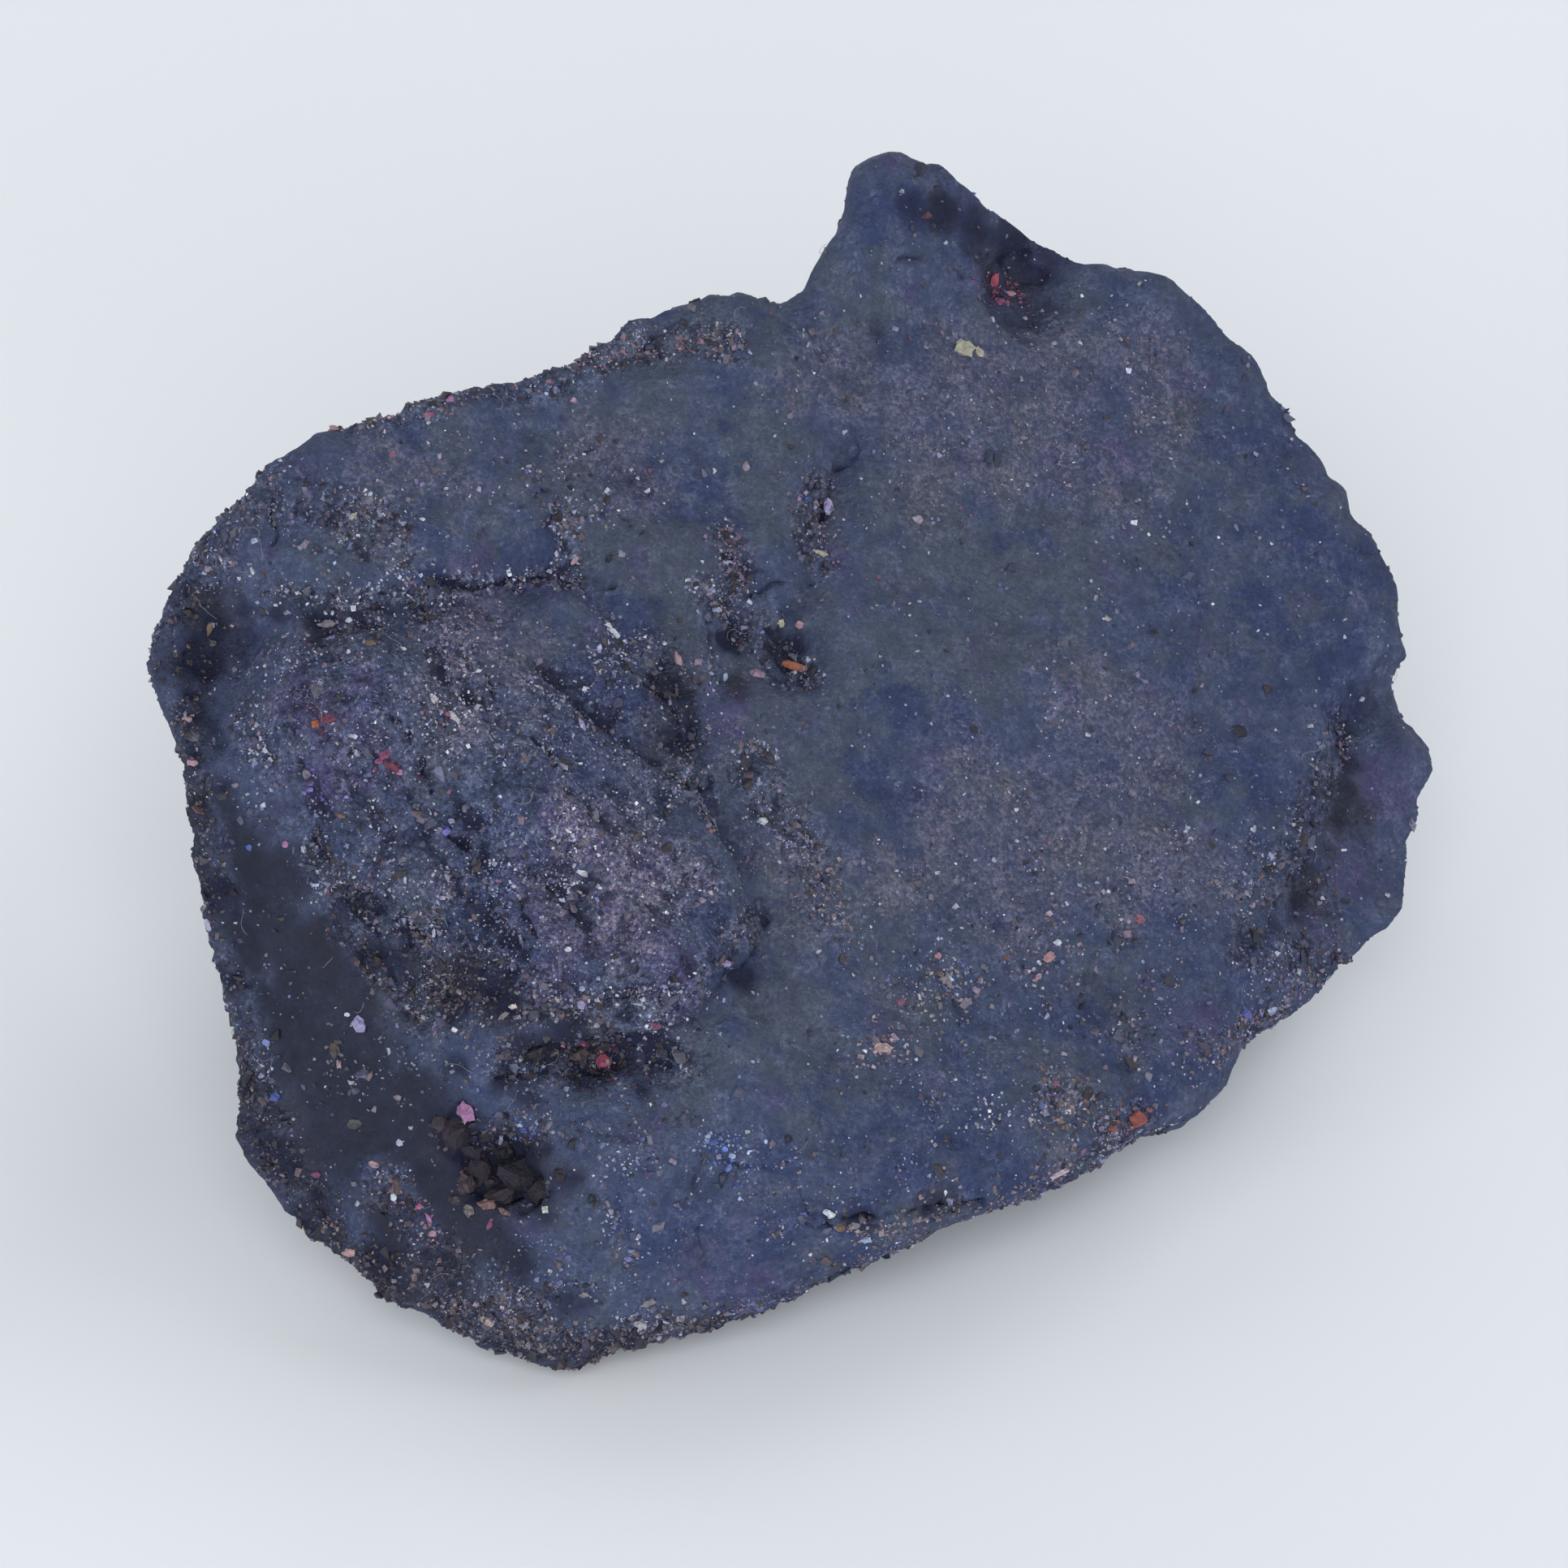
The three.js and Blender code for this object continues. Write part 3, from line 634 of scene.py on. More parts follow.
class Recipe:
    """A material's nodes."""

    def __init__(self, name):
        self.material = bpy.data.materials.new(name)
        self.material.use_nodes = True
        self.tree = self.material.node_tree
        self.tree.nodes.clear()
        self.finish = self.node("ShaderNodeBsdfPrincipled")
        self.node("ShaderNodeOutputMaterial", {}, {"Surface": self.finish.outputs[0]})
        self.place = self.node("ShaderNodeTexCoord").outputs["Object"]

    def node(self, kind, settings=None, inputs=None):
        node = self.tree.nodes.new(kind)
        for key, value in (settings or {}).items():
            setattr(node, key, value)
        for key, value in (inputs or {}).items():
            self.put(node.inputs[key], value)
        return node

    def put(self, socket, value):
        value = getattr(value, "socket", value)
        if isinstance(value, bpy.types.NodeSocket):
            self.tree.links.new(value, socket)
        elif isinstance(value, tuple) and len(value) == 3 and socket.type == "RGBA":
            socket.default_value = (*value, 1)
        else:
            socket.default_value = value

    def attribute(self, name):
        node = self.node("ShaderNodeAttribute", dict(attribute_name=name))
        return Value(self, node.outputs["Fac"])

    def noise(self, size, detail, roughness, shift=(0, 0, 0)):
        """Noise with bumps of this size in mm, from 0 to 1."""
        moved = self.node("ShaderNodeMapping", {}, {"Vector": self.place, "Location": shift})
        node = self.node("ShaderNodeTexNoise", {}, {
            "Vector": moved.outputs[0], "Scale": 1 / (size * MM), "Detail": detail,
            "Roughness": roughness})
        return Value(self, node.outputs[0])

    def cells(self, size, ragged):
        """Ragged cells of this size in mm: how far from the middle, and two random numbers."""
        astray = self.node("ShaderNodeVectorMath", dict(operation="ADD"),
                           {0: self.place, 1: ragged * (0.5 * size * MM)})
        node = self.node("ShaderNodeTexVoronoi", {}, {
            "Vector": astray.outputs[0], "Scale": 1 / (size * MM)})
        split = self.node("ShaderNodeSeparateColor", {}, {0: node.outputs["Color"]})
        return (Value(self, node.outputs["Distance"]), Value(self, split.outputs[0]),
                Value(self, split.outputs[1]))

    def mix(self, amount, first, second):
        """The first colour turning into the second by amount."""
        node = self.node("ShaderNodeMix", dict(data_type="RGBA"), {0: amount, 6: first, 7: second})
        return node.outputs[2]

    def scaled(self, colour, amount):
        """A colour made lighter or darker."""
        return self.node("ShaderNodeVectorMath", dict(operation="SCALE"),
                         {0: colour, "Scale": amount}).outputs[0]

    def bump(self, height, depth, under=None):
        """A bump of this depth in mm."""
        inputs = {"Height": height, "Distance": depth * MM}
        if under is not None:
            inputs["Normal"] = under
        return self.node("ShaderNodeBump", {}, inputs).outputs[0]


SLATE = (0.042, 0.057, 0.112)
GREY_GREEN = (0.052, 0.067, 0.102)
NAVY = (0.022, 0.035, 0.102)
VIOLET = (0.050, 0.046, 0.116)
DARK = (0.008, 0.010, 0.030)
DARK_BROWN = (0.015, 0.012, 0.022)
SATIN_BLUE = (0.0085, 0.0115, 0.026)
# Colour of random darker patches and of the painted shade along the rims.
DARK_PATCH_AND_SHADE = (0.010, 0.010, 0.019)
POWDER = (0.42, 0.44, 0.62)
WARM_POWDER = (0.42, 0.36, 0.44)
# Colour of pale specks of grit, which also serve as painted glints.
PALE_SPECK_AND_GLINT = (0.46, 0.49, 0.60)


def skin_material():
    """Opaque slate-blue corundum: stained in patches and powdered with dust, with painted shade in
    its hollows, cracks and along its rims, and pale specks that also stand as painted glints.
    """
    skin = Recipe("sapphire_skin")
    patch = skin.noise(2.6, 4.0, 0.66)
    stain = skin.noise(1.9, 5.0, 0.72, (3.1, 0.0, 0.0))
    powder = skin.noise(0.9, 5.0, 0.74, (0.0, 5.3, 0.0))
    fine = skin.noise(0.13, 2.0, 0.8, (0.0, 0.0, 7.7)).between(0.30, 0.70)
    dusty, crumbly, satin = (skin.attribute(k) for k in ("dusty", "crumbly", "satin"))
    furrowed, cracked, pit_shade = (skin.attribute(k) for k in ("furrowed", "cracked", "pit_shade"))
    hollow, basin = skin.attribute("hollow"), skin.attribute("basin")
    rough = 1.0 - satin * 0.6
    busy = (furrowed * 0.8 + crumbly * 0.6 + 0.22).maths("MINIMUM", 1.0)
    gap, chance, hue = skin.cells(0.17, fine + powder)
    crumb = fine * 0.6 + chance * 0.4

    green = (patch + skin.attribute("green") * 0.13).between(0.47, 0.66)
    colour = skin.mix(green, SLATE, GREY_GREEN)
    navy = (stain + skin.attribute("navy") * 0.14).between(0.53, 0.70) * 0.75
    colour = skin.mix(navy, colour, NAVY)
    violet = (1.0 - stain + skin.attribute("violet") * 0.13).between(0.55, 0.72) * 0.9
    colour = skin.mix(violet, colour, VIOLET)
    mottled = powder * 0.5 + patch * 0.5
    colour = skin.mix(satin * 0.95, colour, skin.scaled(SATIN_BLUE, mottled * 3.2 - 0.6))
    brown = (mottled + skin.attribute("brown") * 0.20).between(0.58, 0.76)
    colour = skin.mix(brown * 0.6, colour, DARK_BROWN)
    # Darker patches at random, and painted shade along the rims and where its spots are listed.
    dark_patch_and_shade = (mottled + skin.attribute("painted_shade") * 0.25).between(0.54, 0.80)
    colour = skin.mix(dark_patch_and_shade * 0.8, colour, DARK_PATCH_AND_SHADE)
    gloom = (1.0 - powder + crumbly * 0.08 + furrowed * 0.05 - dusty * 0.06).between(0.56, 0.74)
    colour = skin.mix(gloom * (busy * 0.85), colour, DARK)
    even = 0.7 - rough * (busy * 0.40 + 0.05) + powder * 0.6
    colour = skin.scaled(colour, crumb * rough * (busy * 0.8 + 0.1) + even)

    cover = (powder + dusty * 0.09 + hollow * 0.04 - satin * 0.1 - dark_patch_and_shade * 0.08).between(0.42, 0.70)
    dust = crumb * crumb * (cover * 0.8 + 0.12) * (busy * 0.37 + dusty * 0.20 + 0.14) * rough
    warmth = (dusty * 0.5 + hue * 0.4 + stain * 0.6).between(0.55, 0.95)
    colour = skin.mix(dust, colour, skin.mix(warmth, POWDER, WARM_POWDER))
    near, luck, _ = skin.cells(0.085, fine)
    thick = powder * 0.5 + busy * 0.16 - satin * 0.03
    # Pale specks of grit, which also stand in for glints: a painted highlight.
    pale_speck_and_glint = ((luck + thick - 1.22) * 1.8 - near).between(-0.05, 0.15)
    colour = skin.mix(pale_speck_and_glint * (busy * 0.75 + 0.12), colour, PALE_SPECK_AND_GLINT)
    # Painted shade: the colour turns to DARK in fine hollows, broad basins and cracks, at tiny pit
    # dots on the satin faces, and in the spots of painted shade.
    shade = hollow.between(0.62, 1.0) * (busy * 0.65) + basin.between(0.60, 1.0) * 0.35
    depth = pit_shade * (powder * 0.9 + crumb * 0.35 + 0.15).maths("MINIMUM", 0.85)
    pit_dot_shade = (0.10 - luck).between(0.0, 0.04) * satin
    depth = (shade + cracked * 0.6 + depth + pit_dot_shade * 0.7).maths("MINIMUM", 0.92)
    colour = skin.mix(depth, colour, DARK)
    skin.put(skin.finish.inputs["Base Color"], colour)

    skin.put(skin.finish.inputs["Roughness"], 0.72 - satin * 0.16 + fine * 0.1 - pale_speck_and_glint * 0.3)
    under = skin.bump(powder * rough, 0.26)
    height = (crumb - gap * 0.5) * (busy * 0.8 + 0.15) * rough
    skin.put(skin.finish.inputs["Normal"], skin.bump(height, 0.045, under))
    skin.put(skin.finish.inputs["Specular IOR Level"], 0.2)
    return skin.material


def grain_material(name, roughness, ior, uneven=0.4):
    """A grain's own tint, a little uneven."""
    grain = Recipe(name)
    tint = grain.node("ShaderNodeAttribute", dict(attribute_name="tint")).outputs["Color"]
    mottled = grain.noise(0.12, 3.0, 0.6).between(0.3, 0.7)
    colour = grain.mix(mottled * uneven, tint, (0.015, 0.016, 0.030))
    grain.put(grain.finish.inputs["Normal"], grain.bump(mottled, 0.02 * uneven))
    grain.put(grain.finish.inputs["Base Color"], colour)
    grain.put(grain.finish.inputs["Roughness"], roughness)
    grain.put(grain.finish.inputs["IOR"], ior)
    return grain.material


# ------------------------------------------------------------------- the grit

SHAPES_OF_A_KIND = 8
GRIT_SEED, HANDFUL_SEED, LARGE_GRAIN_SEED, FIBRE_SEED = 23, 57, 41, 31


def grain_shapes(seed, kind):
    """Grains about two across: angular crumbs or blocks, ragged lumps, or rounder knobs."""
    shapes = []
    for k in range(SHAPES_OF_A_KIND):
        if kind == "block":
            bpy.ops.mesh.primitive_cube_add(size=1.5)
        else:
            fineness = 1 if kind == "crumb" else 2
            bpy.ops.mesh.primitive_ico_sphere_add(subdivisions=fineness, radius=1)
        grain = bpy.context.object
        bpy.ops.object.mode_set(mode="EDIT")
        bpy.ops.mesh.select_all(action="SELECT")
        shake = dict(crumb=0.75, block=0.6, lump=0.45, knob=0.32)[kind]
        bpy.ops.transform.vertex_random(offset=shake, uniform=0.6, seed=seed + k)
        if kind in ("crumb", "block"):
            bpy.ops.mesh.convex_hull()
        bpy.ops.mesh.quads_convert_to_tris()
        bpy.ops.object.mode_set(mode="OBJECT")
        corners = np.array([tuple(f.vertices) for f in grain.data.polygons])
        points = points_of(grain)
        shapes.append((points - points.mean(axis=0), corners))
        bpy.data.objects.remove(grain)
    return shapes


def new_piece(name, points, corners, tints, material):
    """A piece of loose triangles with a tint at each point."""
    mesh = bpy.data.meshes.new(name)
    mesh.vertices.add(len(points))
    mesh.vertices.foreach_set("co", points.astype(np.float32).ravel())
    mesh.loops.add(len(corners) * 3)
    mesh.loops.foreach_set("vertex_index", corners.astype(np.int32).ravel())
    mesh.polygons.add(len(corners))
    mesh.polygons.foreach_set("loop_start", np.arange(len(corners), dtype=np.int32) * 3)
    mesh.update(calc_edges=True)
    mesh.shade_flat()
    paint_tints(mesh, tints)
    mesh.materials.append(material)
    return add_to_scene(name, mesh)


def sow(name, shapes, places, facing, sizes, tints, material, rng):
    """Joins a grain at each place into one piece: each turned at random and half sunk."""
    kind = rng.integers(len(shapes), size=len(places))
    up = facing + rng.normal(0, 0.35, facing.shape)
    up /= np.linalg.norm(up, axis=1)[:, None]
    side = np.cross(up, rng.normal(0, 1, up.shape))
    side /= np.linalg.norm(side, axis=1)[:, None]
    turn = np.stack([side, np.cross(up, side), up], axis=2)
    stretch = np.stack([rng.uniform(0.8, 1.3, len(places)), rng.uniform(0.6, 1.0, len(places)),
                        rng.uniform(0.4, 0.8, len(places))], axis=1) * sizes[:, None] / 2
    all_points, all_corners, all_tints, used = [], [], [], 0
    for k, (points, corners) in enumerate(shapes):
        mine = np.flatnonzero(kind == k)
        shaped = points[None] * stretch[mine][:, None]
        placed = np.einsum("nij,nvj->nvi", turn[mine], shaped) + places[mine][:, None]
        starts = used + np.arange(len(mine)) * len(points)
        all_points.append(placed.reshape(-1, 3))
        all_corners.append((corners[None] + starts[:, None, None]).reshape(-1, 3))
        all_tints.append(np.repeat(tints[mine], len(points), axis=0))
        used += len(mine) * len(points)
    points = np.concatenate(all_points)
    points[:, 2] = np.maximum(points[:, 2], 0)
    return new_piece(name, points, np.concatenate(all_corners), np.concatenate(all_tints),
                     material)


def tints_from(palette, count, rng):
    """A tint for each grain: one of the palette's, by its share, a little lighter or darker."""
    shares = np.array([share for share, _ in palette], float)
    colours = np.array([colour for _, colour in palette])
    picked = colours[rng.choice(len(palette), count, p=shares / shares.sum())]
    return np.clip(picked * np.exp(rng.normal(0, 0.25, (count, 1))), 0, 0.9)


def sizes_from(smallest, typical, largest, count, rng):
    """Grain sizes in metres, mostly small with a few large."""
    sizes = typical * np.exp(rng.normal(0, 0.55, count))
    return np.clip(sizes, smallest, largest) * MM


CRUMB_TINTS = [
    (6, (0.034, 0.044, 0.086)), (3, (0.018, 0.019, 0.032)), (3, (0.048, 0.045, 0.092)),
    (2, (0.040, 0.032, 0.038)), (3, (0.080, 0.086, 0.140)), (2, (0.130, 0.128, 0.175)),
    (1, (0.120, 0.086, 0.100)),
]
PALE_TINTS = [
    (6, (0.34, 0.36, 0.47)), (4, (0.24, 0.23, 0.32)), (4, (0.20, 0.22, 0.36)),
    (2, (0.30, 0.27, 0.30)), (2, (0.52, 0.54, 0.62)),
]
WARM_TINTS = [
    (6, (0.130, 0.112, 0.155)), (5, (0.180, 0.152, 0.200)), (2, (0.080, 0.062, 0.078)),
    (1, (0.24, 0.17, 0.24)), (0.2, (0.20, 0.09, 0.07)), (0.5, (0.17, 0.07, 0.13)),
]
BLUE_TINTS = [
    (5, (0.060, 0.085, 0.22)), (4, (0.14, 0.16, 0.32)), (3, (0.11, 0.10, 0.23)),
    (2, (0.03, 0.05, 0.15)), (1, (0.24, 0.29, 0.44)),
]


def value_of(piece, name):
    found = np.empty(len(piece.data.vertices), np.float32)
    piece.data.attributes[name].data.foreach_get("value", found)
    return found.astype(float)


def make_grit(stone, glassy, dull):
    """The grit that clings to the stone: crumbs of its own, pale, warm and blue grains."""
    rng = np.random.default_rng(GRIT_SEED)
    crumbs, specks = grain_shapes(100, "crumb"), grain_shapes(140, "block")
    points = points_of(stone)
    crumbly, satin, dusty, furrowed, gritty = (
        value_of(stone, k) for k in ("crumbly", "satin", "dusty", "furrowed", "gritty"))
    hollow, pit_shade, painted_shade = (value_of(stone, k) for k in ("hollow", "pit_shade", "painted_shade"))
    nearest = nearest_of(points)
    clumps = smooth_step(-0.1, 0.6, cloud(points, 1.5, 20) + 0.5 * cloud(points, 0.6, 21))
    above = smooth_step(0.02 * MM, 0.5 * MM, points[:, 2])
    plain = 1 - 0.85 * satin
    pieces = []
    for name, count, shapes, sizes, palette, weight, material in [
        ("stone_crumbs", 9000, crumbs, (0.06, 0.11, 0.40), CRUMB_TINTS,
         1.1 * crumbly * (0.3 + clumps) + 0.03 * plain, dull),
        ("furrow_crumbs", 5000, crumbs, (0.06, 0.11, 0.40), CRUMB_TINTS,
         (0.4 * furrowed + 0.3 * gritty) * (0.2 + clumps), dull),
        ("pale_grit", 14000, specks, (0.030, 0.050, 0.20), PALE_TINTS,
         (0.02 + 0.7 * crumbly + 0.12 * dusty) * (0.12 + clumps) * plain + 0.012, glassy),
        ("furrow_grit", 14500, specks, (0.030, 0.050, 0.20), PALE_TINTS,
         (0.75 * furrowed + 0.4 * gritty) * (0.12 + clumps) * plain, glassy),
        ("warm_grit", 11000, specks, (0.035, 0.070, 0.28), WARM_TINTS,
         (0.03 + 0.9 * crumbly + 0.5 * furrowed + 0.4 * gritty + 0.3 * dusty) * (0.15 + clumps)
         * plain + 0.01, dull),
        ("blue_grit", 8000, specks, (0.035, 0.064, 0.22), BLUE_TINTS,
         (0.04 + 0.8 * crumbly + 0.6 * furrowed + 0.5 * gritty) * (0.15 + clumps) * plain + 0.012,
         glassy),
    ]:
        places, facing = spread_over(stone, weight * above * (0.6 + 0.8 * hollow), count, rng)
        tints = tints_from(palette, count, rng)
        under = [nearest.find(place)[1] for place in places]
        # Grains that lie in the spots of painted shade are painted darker too.
        tints *= (1 - 0.6 * pit_shade[under])[:, None]
        tints *= 1 - np.outer(painted_shade[under], (0.35, 0.45, 0.50))
        pieces.append(sow(name, shapes, places, facing, sizes_from(*sizes, count, rng),
                          tints, material, rng))
    return pieces


# Handfuls of one colour: count, spread in pixels, smallest and largest size in mm, tint,
# and the line they lie along.
HANDFULS = [
    (40, 20, 0.06, 0.20, (0.020, 0.014, 0.019), [(560, 1390), (600, 1430), (660, 1460)]),
    (50, 18, 0.05, 0.18, (0.070, 0.052, 0.058), [(545, 1380), (590, 1450), (620, 1480)]),
    (60, 18, 0.06, 0.22, (0.030, 0.022, 0.022), [(255, 770), (240, 810), (236, 860)]),
    (120, 16, 0.06, 0.24, (0.085, 0.062, 0.072),
     [(400, 1500), (470, 1560), (560, 1610), (640, 1650)]),
    (120, 14, 0.06, 0.24, (0.12, 0.10, 0.125),
     [(640, 1650), (700, 1660), (800, 1640), (860, 1625)]),
    (80, 12, 0.06, 0.20, (0.075, 0.058, 0.068),
     [(238, 950), (262, 1040), (258, 1130), (285, 1230), (300, 1300)]),
    (60, 14, 0.05, 0.18, (0.14, 0.13, 0.18), [(400, 1290), (430, 1340), (500, 1300), (560, 1270)]),
    (70, 14, 0.05, 0.16, (0.06, 0.10, 0.30), [(872, 1400), (905, 1430), (920, 1445)]),
    (50, 16, 0.05, 0.15, (0.22, 0.28, 0.46), [(865, 1405), (905, 1425), (925, 1420)]),
    (26, 9, 0.05, 0.14, (0.06, 0.09, 0.30), [(640, 1388), (655, 1396)]),
    (60, 16, 0.05, 0.16, (0.10, 0.07, 0.26), [(370, 920), (395, 970), (410, 1020)]),
    (40, 14, 0.05, 0.15, (0.15, 0.04, 0.09), [(466, 925), (485, 945), (500, 950)]),
    (26, 12, 0.05, 0.14, (0.16, 0.05, 0.06), [(388, 882), (412, 894)]),
    (60, 11, 0.06, 0.18, (0.15, 0.035, 0.07), [(1214, 340), (1226, 360), (1262, 366)]),
    (50, 16, 0.06, 0.20, (0.11, 0.03, 0.05), [(700, 1290), (745, 1300), (770, 1312)]),
    (110, 7, 0.06, 0.20, (0.24, 0.13, 0.18), [(690, 444), (760, 436), (830, 428), (880, 416)]),
    (60, 8, 0.05, 0.18, (0.24, 0.15, 0.18), [(455, 520), (520, 505), (580, 482), (680, 446)]),
    (90, 16, 0.05, 0.18, (0.22, 0.15, 0.18), [(1540, 1280), (1580, 1250), (1640, 1195)]),
    (80, 22, 0.05, 0.16, (0.16, 0.12, 0.26), [(1520, 1290), (1560, 1240), (1600, 1200)]),
    (90, 26, 0.05, 0.14, (0.44, 0.42, 0.48), [(530, 850), (560, 885), (590, 900)]),
    (120, 34, 0.04, 0.12, (0.38, 0.36, 0.42), [(700, 990), (750, 1040), (800, 1080)]),
    (120, 30, 0.04, 0.11, (0.32, 0.24, 0.27), [(560, 770), (600, 800), (640, 840)]),
    (70, 18, 0.06, 0.22, (0.15, 0.095, 0.085), [(1300, 1340), (1320, 1370), (1345, 1380)]),
    (50, 14, 0.05, 0.16, (0.18, 0.06, 0.05), [(1380, 1390), (1400, 1380), (1415, 1375)]),
    (70, 12, 0.06, 0.22, (0.13, 0.09, 0.15), [(1000, 605), (1012, 650), (1005, 690)]),
    (80, 13, 0.07, 0.22, (0.11, 0.08, 0.14), [(888, 660), (905, 690), (912, 725)]),
    (60, 12, 0.05, 0.18, (0.34, 0.36, 0.44), [(330, 735), (420, 738), (520, 724)]),
    (70, 10, 0.05, 0.16, (0.30, 0.32, 0.44), [(400, 730), (480, 722), (560, 716), (680, 712)]),
    (60, 18, 0.04, 0.14, (0.40, 0.42, 0.48), [(1190, 1360), (1220, 1375), (1240, 1370)]),
    (60, 16, 0.05, 0.16, (0.19, 0.10, 0.14), [(500, 1470), (525, 1500), (540, 1530)]),
    (80, 24, 0.05, 0.18, (0.20, 0.15, 0.19), [(1275, 1180), (1300, 1165), (1320, 1180)]),
    (90, 24, 0.06, 0.20, (0.20, 0.17, 0.18), [(1150, 1190), (1175, 1230), (1160, 1260)]),
    (60, 16, 0.05, 0.18, (0.28, 0.20, 0.21), [(1080, 1280), (1095, 1300)]),
    (70, 12, 0.05, 0.20, (0.19, 0.14, 0.16), [(1010, 1070), (1030, 1100), (1030, 1130)]),
    (240, 10, 0.05, 0.20, (0.16, 0.125, 0.145),
     [(1040, 1525), (1090, 1514), (1160, 1500), (1240, 1476), (1310, 1445)]),
    (90, 10, 0.05, 0.18, (0.13, 0.105, 0.14),
     [(900, 1625), (1000, 1586), (1080, 1545), (1140, 1512)]),
]


def strew(skin, shapes, material):
    """Casts the handfuls of coloured grains along their lines."""
    rng = np.random.default_rng(HANDFUL_SEED)
    places, facing, sizes, tints = [], [], [], []
    for count, spread, smallest, largest, tint, line in HANDFULS:
        stops = np.array(line, float)
        at = rng.random(count) * (len(stops) - 1)
        start = np.minimum(at.astype(int), len(stops) - 2)
        middle = stops[start] + (stops[start + 1] - stops[start]) * (at - start)[:, None]
        for u, v in middle + rng.normal(0, spread, (count, 2)):
            place, way = seen_at(skin, u, v)
            places.append(place)
            facing.append(way)
        sizes.append(smallest * (largest / smallest) ** (rng.random(count) ** 1.5) * MM)
        tints.append(np.clip(np.array(tint) * np.exp(rng.normal(0, 0.35, (count, 1))), 0, 0.9))
    return sow("coloured_grit", shapes, np.array(places), np.array(facing), np.concatenate(sizes),
               np.concatenate(tints), material, rng)


